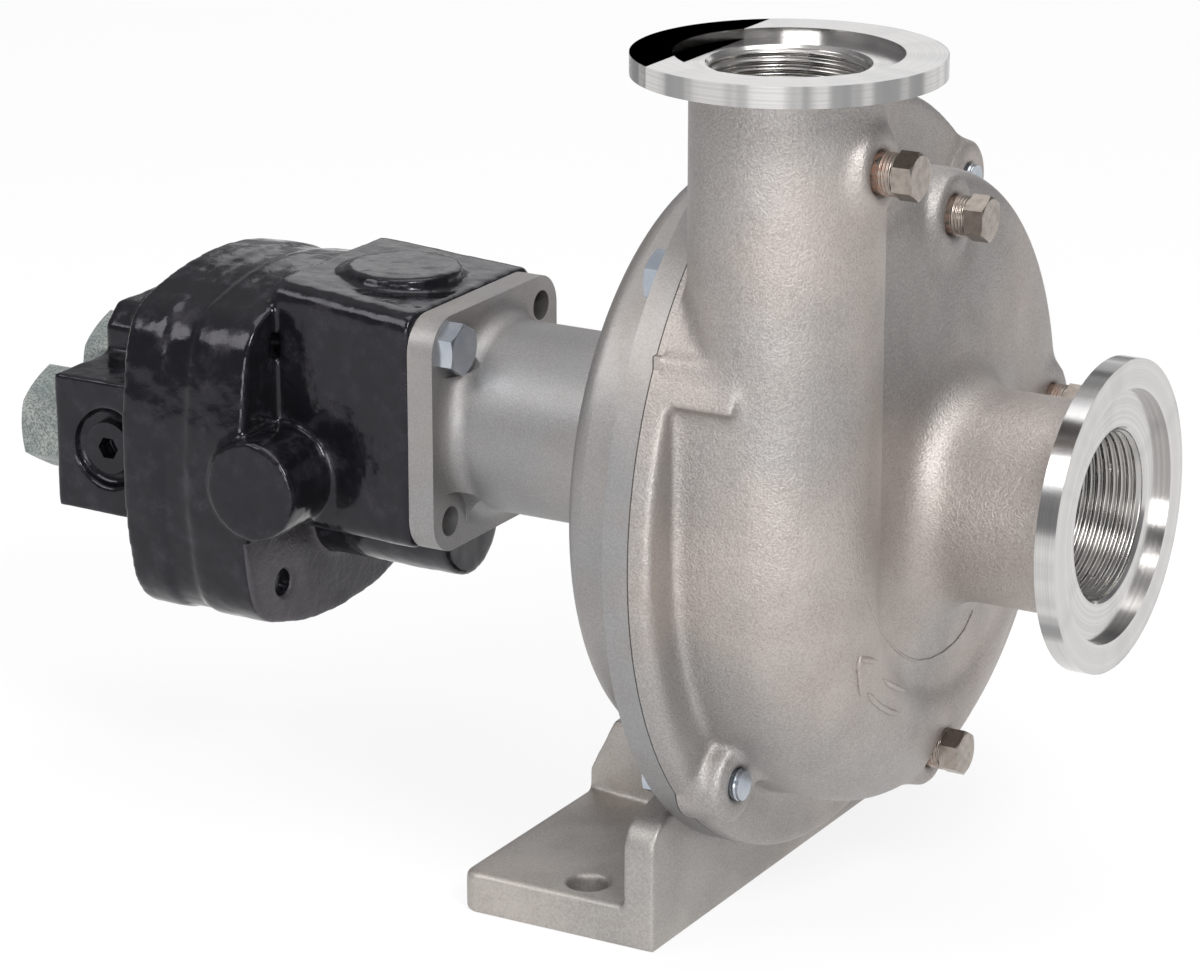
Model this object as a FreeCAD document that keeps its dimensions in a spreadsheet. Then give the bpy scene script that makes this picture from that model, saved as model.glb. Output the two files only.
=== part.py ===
import FreeCAD, Part
import math
import os
import re
import Sketcher
from FreeCAD import Placement, Rotation, Vector

# Close-coupled centrifugal pump with clamp flanges, a cast foot and a hydraulic gear motor.
# Millimetres. The origin is the middle of the two base holes on the foot's underside,
# +X runs along the shaft towards the suction flange and +Z is up. The discharge is on the -Y side.
# Places along the shaft are X values, and those behind the origin are negative.

# Driving dimensions: alias and value.
SIZES = [
    # shaft line, casing joint and casing bolts
    ("shaft_height", 116.5),
    ("joint_face", 33.2),
    ("flange_radius", 104.0),
    ("plate_flange_thickness", 7.2),
    ("rim_thickness", 6.3),
    ("bolt_circle_radius", 95.0),
    ("bolt_radius", 4.0),
    ("bolt_clearance", 0.3),
    ("bolt_across_flats", 13.0),
    ("bolt_head_height", 5.3),
    ("bolt_end_proud", 1.5),
    ("blind_bolt_wall", 1.5),
    ("ear_radius", 11.0),
    ("ear_face", 46.5),
    # scroll
    ("scroll_centre_radius", 66.0),
    ("scroll_start_radius", 13.2),
    ("scroll_end_radius", 25.0),
    ("scroll_start_angle", 100.0),
    ("casing_wall", 5.5),
    ("core_radius", 85.0),
    ("core_shoulder", 67.5),
    ("core_nose", 77.0),
    ("shoulder_rounding", 7.0),
    ("neck_rounding", 11.0),
    ("crown_face", 44.0),
    ("crown_step_height", 42.5),
    ("web_rise", 12.0),
    # suction
    ("suction_face", 122.8),
    ("suction_flange_radius", 42.0),
    ("suction_neck_radius", 28.7),
    ("suction_thread_radius", 22.9),
    ("suction_thread_depth", 26.0),
    ("suction_bore_radius", 20.0),
    ("suction_recess_radius", 34.0),
    ("clamp_flange_thickness", 5.5),
    ("clamp_recess_depth", 2.6),
    ("thread_chamfer", 0.8),
    # discharge, heights from the shaft line
    ("discharge_top", 129.5),
    ("discharge_flange_radius", 39.7),
    ("discharge_thread_radius", 20.1),
    ("discharge_thread_depth", 24.0),
    ("discharge_recess_radius", 29.0),
    # pipe plugs and their bosses
    ("plug_boss_radius", 11.3),
    ("boss_face", 70.5),
    ("vent_boss_face", 72.5),
    ("boss_circle_radius", 74.5),
    ("pipe_boss_face", 84.5),
    ("pipe_boss_height", 101.9),
    ("plug_thread_radius", 5.15),
    ("plug_clearance", 0.05),
    ("plug_thread_length", 11.0),
    ("plug_thread_showing", 4.6),
    ("plug_across_flats", 11.1),
    ("plug_head_height", 5.3),
    ("plug_drill_radius", 4.2),
    ("plug_drill_depth", 26.0),
    # back plate with its drum, barrel and square motor flange
    ("drum_radius", 82.0),
    ("drum_rear", 1.1),
    ("drum_rounding", 6.0),
    ("drum_wall", 8.0),
    ("register_radius", 80.0),
    ("register_length", 3.0),
    ("ring_groove_radius", 88.2),
    ("ring_section_radius", 1.15),
    ("barrel_radius", 27.2),
    ("barrel_flare", 6.6),
    ("motor_joint", -75.7),
    ("motor_flange_thickness", 8.0),
    ("motor_flange_side", 68.0),
    ("motor_flange_corner", 10.0),
    ("motor_bolt_spacing", 50.4),
    ("motor_bolt_length", 24.0),
    ("spot_face_margin", 2.0),
    ("spot_face_height", 6.5),
    ("pilot_length", 3.0),
    ("barrel_rib_length", 9.0),
    ("barrel_rib_height", 14.0),
    ("barrel_rib_reach", 12.0),
    # foot
    ("foot_rear", -33.9),
    ("foot_half_width", 76.2),
    ("foot_plate_thickness", 11.6),
    ("foot_wall_thickness", 9.4),
    ("foot_wall_end_height", 34.0),
    ("foot_wall_slope_width", 36.0),
    ("foot_wall_slope_rise", 10.0),
    ("foot_end_rounding", 8.0),
    ("foot_corner_rounding", 4.0),
    ("foot_edge_rounding", 1.6),
    ("foot_hole_radius", 5.65),
    ("foot_hole_half_spacing", 65.9),
    ("gusset_nose_height", 5.8),
    ("gusset_slope_length", 8.9),
    ("gusset_half_width", 6.0),
    ("gusset_flare", 7.0),
    ("foot_screw_half_spacing", 30.0),
    ("foot_screw_circle_radius", 93.0),
    ("foot_screw_radius", 4.0),
    ("foot_drum_gap", 0.4),
    # shaft, bearing and seal
    ("shaft_radius", 10.0),
    ("shaft_nose_radius", 8.0),
    ("shaft_shoulder", 36.0),
    ("shaft_thread_radius", 5.5),
    ("sleeve_radius", 13.5),
    ("sleeve_length", 38.0),
    ("drive_shaft_radius", 8.0),
    ("key_side", 4.8),
    ("key_length", 16.0),
    ("key_end_distance", 2.0),
    ("bearing_outer_radius", 23.5),
    ("bearing_width", 14.0),
    ("bearing_front", -12.0),
    ("bearing_ring_wall", 3.6),
    ("ball_radius", 3.9),
    ("ball_count", 8),
    ("cage_wall", 1.1),
    ("clip_thickness", 1.2),
    ("clip_depth", 1.1),
    ("drain_space_radius", 20.0),
    ("drain_space_front", -1.0),
    ("slinger_radius", 16.5),
    ("seal_seat_radius", 17.0),
    ("seal_seat_front", 12.0),
    ("seal_seat_width", 8.0),
    ("seal_seat_bore", 11.5),
    ("seal_gasket_wall", 1.8),
    ("seal_hub_radius", 23.0),
    ("seal_ring_width", 4.0),
    ("seal_head_radius", 14.2),
    ("seal_head_width", 10.0),
    ("bellows_folds", 5),
    ("bellows_fold_height", 2.0),
    ("bellows_wall", 0.6),
    ("bellows_gap", 0.3),
    ("retainer_thickness", 1.6),
    ("running_clearance", 0.05),
    # impeller
    ("impeller_radius", 62.5),
    ("impeller_back", 37.5),
    ("impeller_shroud", 3.0),
    ("impeller_hub_front", 56.0),
    ("vane_height_tip", 7.0),
    ("vane_height_eye", 14.0),
    ("vane_span_angle", 11.0),
    ("vane_wrap_angle", 60.0),
    ("vane_arc_radius", 55.0),
    ("vane_count", 5),
    ("eye_radius", 22.0),
    ("eye_hub_radius", 26.0),
    ("hub_radius", 13.0),
    ("wear_ring_wall", 3.5),
    ("wear_ring_width", 8.0),
    ("wear_clearance", 0.3),
    ("impeller_clearance", 1.5),
    ("washer_thickness", 2.0),
    ("nut_across_flats", 17.0),
    ("nut_height", 8.0),
    # hydraulic motor
    ("gear_centre_distance", 34.0),
    ("gear_teeth", 12),
    ("gear_pressure_angle", 25.0),
    ("gear_backlash", 0.3),
    ("gear_tip_clearance", 0.12),
    ("gear_width", 10.0),
    ("motor_half_width", 49.5),
    ("motor_half_height", 51.8),
    ("motor_corner_width", 43.0),
    ("motor_corner_height", 42.8),
    ("motor_corner_rounding", 17.0),
    ("motor_middle_drop", 16.0),
    ("gear_plate_inset", 0.8),
    ("front_disc_thickness", 19.0),
    ("gear_plate_front", -140.0),
    ("rear_cover_thickness", 12.5),
    ("port_block_rear", -192.6),
    ("port_block_side", 40.0),
    ("port_block_low", 36.5),
    ("port_block_high", 3.5),
    ("port_block_step", 14.0),
    ("block_top", 35.5),
    ("block_half_width", 33.5),
    ("block_taper", 2.5),
    ("idler_lobe_radius", 15.5),
    ("round_boss_radius", 14.5),
    ("round_boss_reach", 52.0),
    ("round_boss_place", -117.2),
    ("round_boss_drop", 17.3),
    ("top_pad_radius", 17.0),
    ("top_pad_place", -98.0),
    ("top_pad_rise", 3.6),
    ("journal_radius", 8.0),
    ("bush_wall", 2.5),
    ("bush_length", 12.0),
    ("journal_rear_length", 6.0),
    ("shaft_seal_radius", 14.0),
    ("shaft_seal_width", 7.0),
    ("body_screw_radius", 4.0),
    ("body_screw_half_width", 29.0),
    ("body_screw_half_height", 35.5),
    ("adaptor_across_flats", 27.0),
    ("adaptor_reach", 18.4),
    ("adaptor_thread_radius", 11.0),
    ("adaptor_thread_length", 9.0),
    ("adaptor_bore_radius", 7.5),
    ("port_plug_radius", 7.6),
    ("port_recess_radius", 11.6),
    ("port_recess_depth", 3.0),
    ("port_plug_place", -174.0),
]

ALIASES = {alias for alias, value in SIZES}
BOLT_ANGLES = (45, 135, 225, 315)
EAR_ANGLES = (45, 225, 315)
SCROLL_STEPS = 12
SCROLL_LAST_ANGLE = -180
CROWN_ANGLES = (38, 113)
VENT_ANGLE = 88
SIDE_ANGLE = 3
DRAIN_ANGLE = -90
NUDGE = 0.5
X_AXIS = Vector(1, 0, 0)
Y_AXIS = Vector(0, 1, 0)
Z_AXIS = Vector(0, 0, 1)

doc = FreeCAD.newDocument("centrifugal_pump")
sheet = doc.addObject("Spreadsheet::Sheet", "Sizes")
for row, (alias, value) in enumerate(SIZES, start=1):
    sheet.set("A%d" % row, alias)
    sheet.set("B%d" % row, str(value))
    sheet.setAlias("B%d" % row, alias)
doc.recompute()
nodes = []


class Values:
    """Reads a driving dimension from the sheet by its alias."""

    def __getattr__(self, alias):
        return float(sheet.get(alias))


v = Values()


def bound(expression):
    """Turn the aliases in an expression into references to the sheet."""
    return re.sub(r"[a-z_]+", lambda m: "Sizes." + m.group() if m.group() in ALIASES else m.group(),
                  expression)


def keep(obj, label):
    """Give an object its label and list it as a node."""
    obj.Label = label
    nodes.append(obj)
    return obj


# Bodies with sketches

def new_body(label, height="shaft_height"):
    """Start a body whose own origin lies on the shaft line, or on the base where height is None."""
    body = doc.addObject("PartDesign::Body", label)
    if height:
        body.setExpression("Placement.Base.z", bound(height))
    return keep(body, label)


def new_sketch(body, role, offset=None):
    """Attach a sketch to one of the body's own origin planes, moved along its normal."""
    sketch = body.newObject("Sketcher::SketchObject", "outline")
    plane = [f for f in body.Origin.OriginFeatures if f.Role == role][0]
    sketch.AttachmentSupport = [(plane, "")]
    sketch.MapMode = "FlatFace"
    if offset:
        sketch.setExpression("AttachmentOffset.Base.z", bound(offset))
    return sketch


def number(sketch, text):
    """The value of an expression."""
    return float(sketch.evalExpression(bound(text)))


def fix_point(sketch, geometry, point, x_text, y_text):
    """Tie a point of a sketch to two expressions, measured from the sketch's origin."""
    for kind, text in (("DistanceX", x_text), ("DistanceY", y_text)):
        rule = Sketcher.Constraint(kind, -1, 1, geometry, point, number(sketch, text))
        index = sketch.addConstraint(rule)
        sketch.setExpression("Constraints[%d]" % index, bound(text))


def fix_radius(sketch, geometry, text):
    """Tie the radius of an arc or a circle to an expression."""
    index = sketch.addConstraint(Sketcher.Constraint("Radius", geometry, number(sketch, text)))
    sketch.setExpression("Constraints[%d]" % index, bound(text))


def outline(sketch, corners):
    """Draw a closed outline through corners (x, y) or (x, y, rounding), all of them expressions."""
    points = [Vector(number(sketch, c[0]), number(sketch, c[1]), 0) for c in corners]
    count = len(corners)
    starts, ends, arcs = [], [], []
    for i, corner in enumerate(corners):
        starts.append(points[i])
        ends.append(points[i])
        arcs.append(None)
        if len(corner) == 3:
            radius = number(sketch, corner[2])
            before = (points[i - 1] - points[i]).normalize()
            after = (points[(i + 1) % count] - points[i]).normalize()
            half = before.getAngle(after) / 2
            cut = radius / math.tan(half)
            centre = points[i] + (before + after).normalize() * (radius / math.sin(half))
            starts[i] = points[i] + before * cut
            ends[i] = points[i] + after * cut
            middle = centre + (points[i] - centre).normalize() * radius
            arcs[i] = Part.Arc(starts[i], middle, ends[i])
    lines = [sketch.addGeometry(Part.LineSegment(ends[i], starts[(i + 1) % count]), False)
             for i in range(count)]
    for i, corner in enumerate(corners):
        before, after = lines[i - 1], lines[i]
        if arcs[i] is None:
            sketch.addConstraint(Sketcher.Constraint("Coincident", before, 2, after, 1))
            fix_point(sketch, after, 1, corner[0], corner[1])
            continue
        arc = sketch.addGeometry(arcs[i], False)
        first = 1 if (sketch.getPoint(arc, 1) - starts[i]).Length < 1e-6 else 2
        sketch.addConstraint(Sketcher.Constraint("Tangent", before, 2, arc, first))
        sketch.addConstraint(Sketcher.Constraint("Tangent", after, 1, arc, 3 - first))
        fix_radius(sketch, arc, corner[2])
        mark = sketch.addGeometry(Part.Point(points[i]), True)
        fix_point(sketch, mark, 1, corner[0], corner[1])
        sketch.addConstraint(Sketcher.Constraint("PointOnObject", mark, 1, before))
        sketch.addConstraint(Sketcher.Constraint("PointOnObject", mark, 1, after))


def circles(sketch, places, radius_text):
    """Draw circles of one radius at places (x, y), all of them expressions."""
    for x_text, y_text in places:
        centre = Vector(number(sketch, x_text), number(sketch, y_text), 0)
        index = sketch.addGeometry(Part.Circle(centre, Z_AXIS, number(sketch, radius_text)), False)
        fix_point(sketch, index, 3, x_text, y_text)
        fix_radius(sketch, index, radius_text)


def turn(body, corners, cut=False):
    """Revolve an outline of (x, radius) about the shaft line, or cut it away as a groove."""
    sketch = new_sketch(body, "XZ_Plane")
    outline(sketch, corners)
    doc.recompute()
    feature = body.newObject("PartDesign::Groove" if cut else "PartDesign::Revolution", "turned")
    feature.Profile = sketch
    feature.ReferenceAxis = (sketch, ["H_Axis"])
    feature.Angle = 360
    doc.recompute()
    return feature


def prism(body, draw, length, role="YZ_Plane", offset=None, cut=False):
    """Pad what draw puts in a sketch along the plane's normal, or cut it away along it."""
    sketch = new_sketch(body, role, offset)
    draw(sketch)
    doc.recompute()
    feature = body.newObject("PartDesign::Pocket" if cut else "PartDesign::Pad", "prism")
    feature.Profile = sketch
    feature.setExpression("Length", bound(length))
    feature.Reversed = cut
    doc.recompute()
    return feature


def turned_piece(label, corners, height="shaft_height"):
    """Make a piece that is turned all over."""
    body = new_body(label, height)
    turn(body, corners)
    return body


def ring_piece(label, x0, x1, inner, outer, height="shaft_height"):
    """Make a plain ring between two places on an axis along X."""
    return turned_piece(label, [(x0, inner), (x0, outer), (x1, outer), (x1, inner)], height)


# Shapes made by functions

def on_shaft(x, y=0.0, z=0.0):
    """A point given from the shaft line."""
    return Vector(x, y, z + v.shaft_height)


def polar(radius, degrees):
    """Y and Z of a point on a circle about the shaft line, from +Y towards +Z."""
    return radius * math.cos(math.radians(degrees)), radius * math.sin(math.radians(degrees))


def rod(start, radius, length, axis=X_AXIS):
    """A cylinder from a point along an axis."""
    return Part.makeCylinder(radius, length, start, axis)


def revolved(points, centre_y=0.0, centre_z=0.0):
    """Revolve a polygon of (x, radius) about an axis along X, placed from the shaft line."""
    base = [on_shaft(x, centre_y, centre_z + r) for x, r in points]
    face = Part.Face(Part.makePolygon(base + base[:1]))
    return face.revolve(on_shaft(0, centre_y, centre_z), X_AXIS, 360)


def slab(points, x0, x1):
    """Extrude a polygon of (y, z), given from the shaft line, between two places along X."""
    base = [on_shaft(x0, y, z) for y, z in points]
    return Part.Face(Part.makePolygon(base + base[:1])).extrude(Vector(x1 - x0, 0, 0))


def hexagon(start, across_flats, length, axis=X_AXIS):
    """A hexagon prism whose corners are turned off at the far end."""
    corner = across_flats / math.sqrt(3)
    fall = (corner - across_flats / 2) / 2
    points = [Vector(corner * math.cos(math.radians(a)), corner * math.sin(math.radians(a)), 0)
              for a in range(0, 361, 60)]
    bar = Part.Face(Part.makePolygon(points)).extrude(Vector(0, 0, length))
    turned = Part.makeCylinder(corner, length - fall)
    cone = Part.makeCone(corner, across_flats / 2 * 0.98, fall, Vector(0, 0, length - fall))
    solid = bar.common(turned.fuse(cone))
    solid.Placement = Placement(start, Rotation(Z_AXIS, axis))
    return solid


def screw(seat, radius, length, across_flats, head_height, axis):
    """A hexagon head screw: its head stands on seat, and its shank runs along axis from there."""
    head = hexagon(seat, across_flats, head_height, axis * -1)
    shank = rod(seat, radius, length, axis)
    return head.fuse(shank)


def shape_node(label, shape):
    """Hold a shape made by functions as a node."""
    feature = doc.addObject("Part::Feature", label)
    feature.Shape = shape
    return keep(feature, label)


def group_node(label, solids):
    """Hold several separate solids as one node."""
    return shape_node(label, Part.makeCompound(solids))


# Volute casing

def scroll_section(degrees, radius, wall):
    """Half round section of the scroll tube or, with a wall, of its passage, squared to the joint."""
    centre_x = v.joint_face + radius - NUDGE
    back = v.joint_face - (NUDGE if wall else 0)
    inner = v.scroll_centre_radius - radius + wall
    outer = v.scroll_centre_radius + radius - wall

    def spot(x, r):
        return on_shaft(x, *polar(r, degrees))

    crest = spot(centre_x + radius - wall, v.scroll_centre_radius)
    return Part.Wire([Part.makeLine(spot(back, inner), spot(back, outer)),
                      Part.makeLine(spot(back, outer), spot(centre_x, outer)),
                      Part.Arc(spot(centre_x, outer), crest, spot(centre_x, inner)).toShape(),
                      Part.makeLine(spot(centre_x, inner), spot(back, inner))])


def scroll(wall=0.0):
    """The growing scroll, from the cutwater round to the shaft's level on the discharge side."""
    wires = []
    for i in range(SCROLL_STEPS + 1):
        share = i / SCROLL_STEPS
        degrees = v.scroll_start_angle + (SCROLL_LAST_ANGLE - v.scroll_start_angle) * share
        radius = v.scroll_start_radius + (v.scroll_end_radius - v.scroll_start_radius) * share
        wires.append(scroll_section(degrees, radius, wall))
    return Part.makeLoft(wires, True, False)


def pipe_axis(height):
    """A point on the discharge axis, at a height above the shaft line."""
    return on_shaft(v.joint_face + v.scroll_end_radius - NUDGE, -v.scroll_centre_radius, height)


def neck():
    """The squared end of the scroll carried up beside the discharge pipe."""
    section = Part.Face(scroll_section(SCROLL_LAST_ANGLE, v.scroll_end_radius, 0))
    return section.extrude(Vector(0, 0, v.crown_step_height + v.plug_boss_radius))


def pie(low, high, radius, x0, x1):
    """A slice about the shaft line between two angles."""
    start = on_shaft(x0)
    ends = [on_shaft(x0, *polar(radius, a)) for a in (low, (low + high) / 2, high)]
    edges = [Part.makeLine(start, ends[0]), Part.Arc(*ends).toShape(), Part.makeLine(ends[2], start)]
    return Part.Face(Part.Wire(edges)).extrude(Vector(x1 - x0, 0, 0))


def plug_places():
    """Name and boss face centre, from the shaft line, of each pipe plug."""
    places = [("discharge_plug", (v.pipe_boss_face, -v.scroll_centre_radius, v.pipe_boss_height))]
    for name, face, degrees in (("vent_plug", v.vent_boss_face, VENT_ANGLE),
                                ("side_plug", v.boss_face, SIDE_ANGLE),
                                ("drain_plug", v.boss_face, DRAIN_ANGLE)):
        places.append((name, (face,) + polar(v.boss_circle_radius, degrees)))
    return places


def bolt_end(degrees):
    """Where a casing bolt ends: proud of its ear, or blind in the wall of the discharge pipe."""
    if degrees in EAR_ANGLES:
        return v.ear_face + v.bolt_end_proud
    passage = pipe_axis(0).x - v.scroll_end_radius + v.casing_wall
    return passage - v.blind_bolt_wall


def casing_outside():
    """The cast outside of the volute."""
    core = revolved([(v.joint_face, 0), (v.joint_face, v.core_radius), (v.core_shoulder, v.core_radius),
                     (v.core_nose, v.suction_neck_radius), (v.suction_face, v.suction_neck_radius),
                     (v.suction_face, 0)])
    for place, rounding in ((v.core_shoulder, v.shoulder_rounding), (v.core_nose, v.neck_rounding)):
        edges = [e for e in core.Edges if e.BoundBox.XLength < 0.1 and abs(e.BoundBox.XMin - place) < 0.1]
        core = core.makeFillet(rounding, edges)
    pipe = pipe_axis(0)
    pipe_top = v.discharge_top - v.clamp_flange_thickness
    step_angle = 180 - math.degrees(math.asin(v.crown_step_height / v.flange_radius))
    solids = [rod(on_shaft(v.joint_face), v.flange_radius, v.rim_thickness), scroll(), neck(),
              pie(CROWN_ANGLES[1] - 1, step_angle, v.flange_radius, v.joint_face, pipe.x),
              pie(CROWN_ANGLES[0], CROWN_ANGLES[1], v.flange_radius, v.joint_face, v.crown_face),
              rod(pipe, v.scroll_end_radius, pipe_top + NUDGE, Z_AXIS),
              rod(pipe_axis(pipe_top), v.discharge_flange_radius, v.clamp_flange_thickness, Z_AXIS),
              rod(on_shaft(v.suction_face - v.clamp_flange_thickness), v.suction_flange_radius,
                  v.clamp_flange_thickness)]
    for degrees in EAR_ANGLES:
        centre = on_shaft(v.joint_face, *polar(v.bolt_circle_radius, degrees))
        solids.append(rod(centre, v.ear_radius, v.ear_face - v.joint_face))
    for name, (x, y, z) in plug_places():
        solids.append(rod(on_shaft(pipe.x, y, z), v.plug_boss_radius, x - pipe.x))
    crest = v.core_radius + v.web_rise
    side = -v.scroll_centre_radius
    web = [(side, v.core_radius), (side, crest + v.web_rise / 3), (side / 2, crest), (side / 5, crest - 5),
           (0, v.core_radius - 5)]
    solids.append(slab(web, v.joint_face, v.core_shoulder))
    return core.multiFuse(solids)


def casing_cuts():
    """The water space, ports, bolt holes and plug holes of the volute."""
    back = v.joint_face - 1
    register = v.register_radius + 0.1
    register_end = v.joint_face + v.register_length + 0.1
    tip = v.impeller_radius + v.impeller_clearance
    shrouds = v.impeller_back + v.impeller_shroud * 2 + v.impeller_clearance
    ring_rear = shrouds + v.vane_height_eye
    ring_front = ring_rear + v.wear_ring_width
    ring_outer = v.eye_hub_radius + v.wear_clearance + v.wear_ring_wall
    face = v.suction_face
    thread_rear = face - v.suction_thread_depth
    floor = face - v.clamp_recess_depth
    chamfer = v.thread_chamfer
    cuts = [revolved([(back, 0), (back, register), (register_end, register), (register_end, tip),
                      (shrouds + v.vane_height_tip, tip), (ring_rear, ring_outer),
                      (ring_front, ring_outer), (ring_front, v.suction_bore_radius),
                      (thread_rear, v.suction_bore_radius), (thread_rear, v.suction_thread_radius),
                      (floor - chamfer, v.suction_thread_radius), (floor, v.suction_thread_radius + chamfer),
                      (floor, v.suction_recess_radius), (face + 1, v.suction_recess_radius),
                      (face + 1, 0)]),
            scroll(v.casing_wall), neck_passage(),
            rod(on_shaft(v.joint_face - v.rim_thickness), v.discharge_top, v.rim_thickness)]
    for degrees in BOLT_ANGLES:
        centre = on_shaft(back, *polar(v.bolt_circle_radius, degrees))
        cuts.append(rod(centre, v.bolt_radius, bolt_end(degrees) - back))
    for name, (x, y, z) in plug_places():
        hole = v.plug_thread_length + 1 - v.plug_thread_showing
        cuts.append(rod(on_shaft(x - hole, y, z), v.plug_thread_radius + v.plug_clearance,
                        hole + v.plug_thread_showing + 1))
        cuts.append(rod(on_shaft(x - v.plug_drill_depth, y, z), v.plug_drill_radius, v.plug_drill_depth))
    return cuts


def neck_passage():
    """The passage up the discharge pipe with its thread and the recess of its clamp flange."""
    top = v.discharge_top
    floor = top - v.clamp_recess_depth
    lower = rod(pipe_axis(-NUDGE), v.scroll_end_radius - v.casing_wall, top + 1, Z_AXIS)
    profile = [(top - v.discharge_thread_depth, 0),
               (top - v.discharge_thread_depth, v.discharge_thread_radius),
               (floor - v.thread_chamfer, v.discharge_thread_radius),
               (floor, v.discharge_thread_radius + v.thread_chamfer),
               (floor, v.discharge_recess_radius), (top + 1, v.discharge_recess_radius), (top + 1, 0)]
    axis = pipe_axis(0)
    base = [axis + Vector(r, 0, height) for height, r in profile]
    upper = Part.Face(Part.makePolygon(base + base[:1])).revolve(axis, Z_AXIS, 360)
    return lower.fuse(upper)


def make_casing():
    shape_node("volute_casing", casing_outside().cut(casing_cuts()))
    reach = v.bolt_circle_radius
    for name, (x, y, z) in plug_places():
        start = on_shaft(x - v.plug_thread_length + v.plug_thread_showing, y, z)
        head = hexagon(start + Vector(v.plug_thread_length, 0, 0), v.plug_across_flats, v.plug_head_height)
        shape_node(name, rod(start, v.plug_thread_radius, v.plug_thread_length + NUDGE).fuse(head))
    seat = v.joint_face - v.plate_flange_thickness
    bolts = []
    for degrees in BOLT_ANGLES:
        bolts.append(screw(on_shaft(seat, *polar(reach, degrees)), v.bolt_radius, bolt_end(degrees) - seat,
                           v.bolt_across_flats, v.bolt_head_height, X_AXIS))
    group_node("casing_bolts", bolts)
    ring = Part.makeTorus(v.ring_groove_radius, v.ring_section_radius,
                          on_shaft(v.joint_face - v.ring_section_radius), X_AXIS)
    shape_node("casing_o_ring", ring)
    front = "impeller_back + impeller_shroud * 2 + impeller_clearance + vane_height_eye"
    bore = "eye_hub_radius + wear_clearance"
    ring_piece("wear_ring", front, front + " + wear_ring_width", bore, bore + " + wear_ring_wall")


# Back plate

def bolt_places(radius, angles):
    """Sketch places of holes on a circle about the shaft line."""
    return [("%s * cos(%d)" % (radius, a), "%s * sin(%d)" % (radius, a)) for a in angles]


FOOT_SCREW_DROP = "sqrt(foot_screw_circle_radius ^ 2 - foot_screw_half_spacing ^ 2)"
FOOT_SCREW_PLACES = [("foot_screw_half_spacing", "-" + FOOT_SCREW_DROP),
                     ("-foot_screw_half_spacing", "-" + FOOT_SCREW_DROP)]
HALF_SPACING = "motor_bolt_spacing / 2"
SQUARE_PLACES = [(a + HALF_SPACING, b + HALF_SPACING) for a in ("", "-") for b in ("", "-")]


def make_back_plate():
    body = new_body("back_plate")
    rear = "joint_face - plate_flange_thickness"
    plate_front = "motor_joint + motor_flange_thickness"
    half = "motor_flange_side / 2"
    turn(body, [("motor_joint", "0"), ("motor_joint", half), (plate_front, half),
                (plate_front, "barrel_radius", "barrel_flare"), ("drum_rear", "barrel_radius", "4"),
                ("drum_rear", "drum_radius", "drum_rounding"), (rear, "drum_radius"),
                (rear, "flange_radius"), ("joint_face", "flange_radius"),
                ("joint_face", "register_radius"), ("joint_face + register_length", "register_radius"),
                ("joint_face + register_length", "0")])

    def square(sketch):
        outline(sketch, [(a + half, b + half, "motor_flange_corner")
                         for a, b in (("", ""), ("-", ""), ("-", "-"), ("", "-"))])

    prism(body, square, "motor_flange_thickness", offset="motor_joint")

    def rib(sketch):
        low = "-barrel_rib_height / 2"
        high = "barrel_rib_height / 2"
        outline(sketch, [("-barrel_radius - barrel_rib_reach", low), ("-barrel_radius - barrel_rib_reach", high),
                         ("-barrel_radius + 4", high), ("-barrel_radius + 4", low)])

    prism(body, rib, "barrel_rib_length + 1", offset="drum_rear - barrel_rib_length")
    inner = "drum_radius - drum_wall"
    bearing_rear = "bearing_front - bearing_width"
    clip_rear = bearing_rear + " - clip_thickness"
    clip_outer = "bearing_outer_radius + clip_depth"
    passage = "shaft_radius + 4"
    front = "joint_face + register_length + 1"
    turn(body, [(front, "0"), (front, inner), ("drum_rear + drum_wall", inner, "5"),
                ("drum_rear + drum_wall", "seal_hub_radius"), ("seal_seat_front", "seal_hub_radius"),
                ("seal_seat_front", "seal_seat_radius"),
                ("seal_seat_front - seal_seat_width", "seal_seat_radius"),
                ("seal_seat_front - seal_seat_width", passage), ("drain_space_front", passage),
                ("drain_space_front", "drain_space_radius"), ("bearing_front", "drain_space_radius"),
                ("bearing_front", "bearing_outer_radius"), (bearing_rear, "bearing_outer_radius"),
                (bearing_rear, clip_outer), (clip_rear, clip_outer), (clip_rear, "bearing_outer_radius"),
                ("motor_joint - 1", "bearing_outer_radius"), ("motor_joint - 1", "0")], cut=True)
    groove_floor = "joint_face - ring_section_radius * 2"
    groove_inner = "ring_groove_radius - ring_section_radius"
    groove_outer = "ring_groove_radius + ring_section_radius"
    turn(body, [(groove_floor, groove_inner), (groove_floor, groove_outer),
                ("joint_face + 1", groove_outer), ("joint_face + 1", groove_inner)], cut=True)
    holes = bolt_places("bolt_circle_radius", BOLT_ANGLES)
    prism(body, lambda s: circles(s, holes, "bolt_radius + bolt_clearance"),
          "plate_flange_thickness + 1", offset=rear, cut=True)
    prism(body, lambda s: circles(s, FOOT_SCREW_PLACES, "foot_screw_radius"),
          "plate_flange_thickness - 1", offset=rear, cut=True)
    prism(body, lambda s: circles(s, SQUARE_PLACES, "bolt_radius + bolt_clearance"),
          "motor_flange_thickness + 1", offset="motor_joint", cut=True)
    prism(body, lambda s: circles(s, SQUARE_PLACES, "bolt_across_flats / 2 + spot_face_margin"),
          "spot_face_height", offset=plate_front, cut=True)


# Foot

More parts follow.
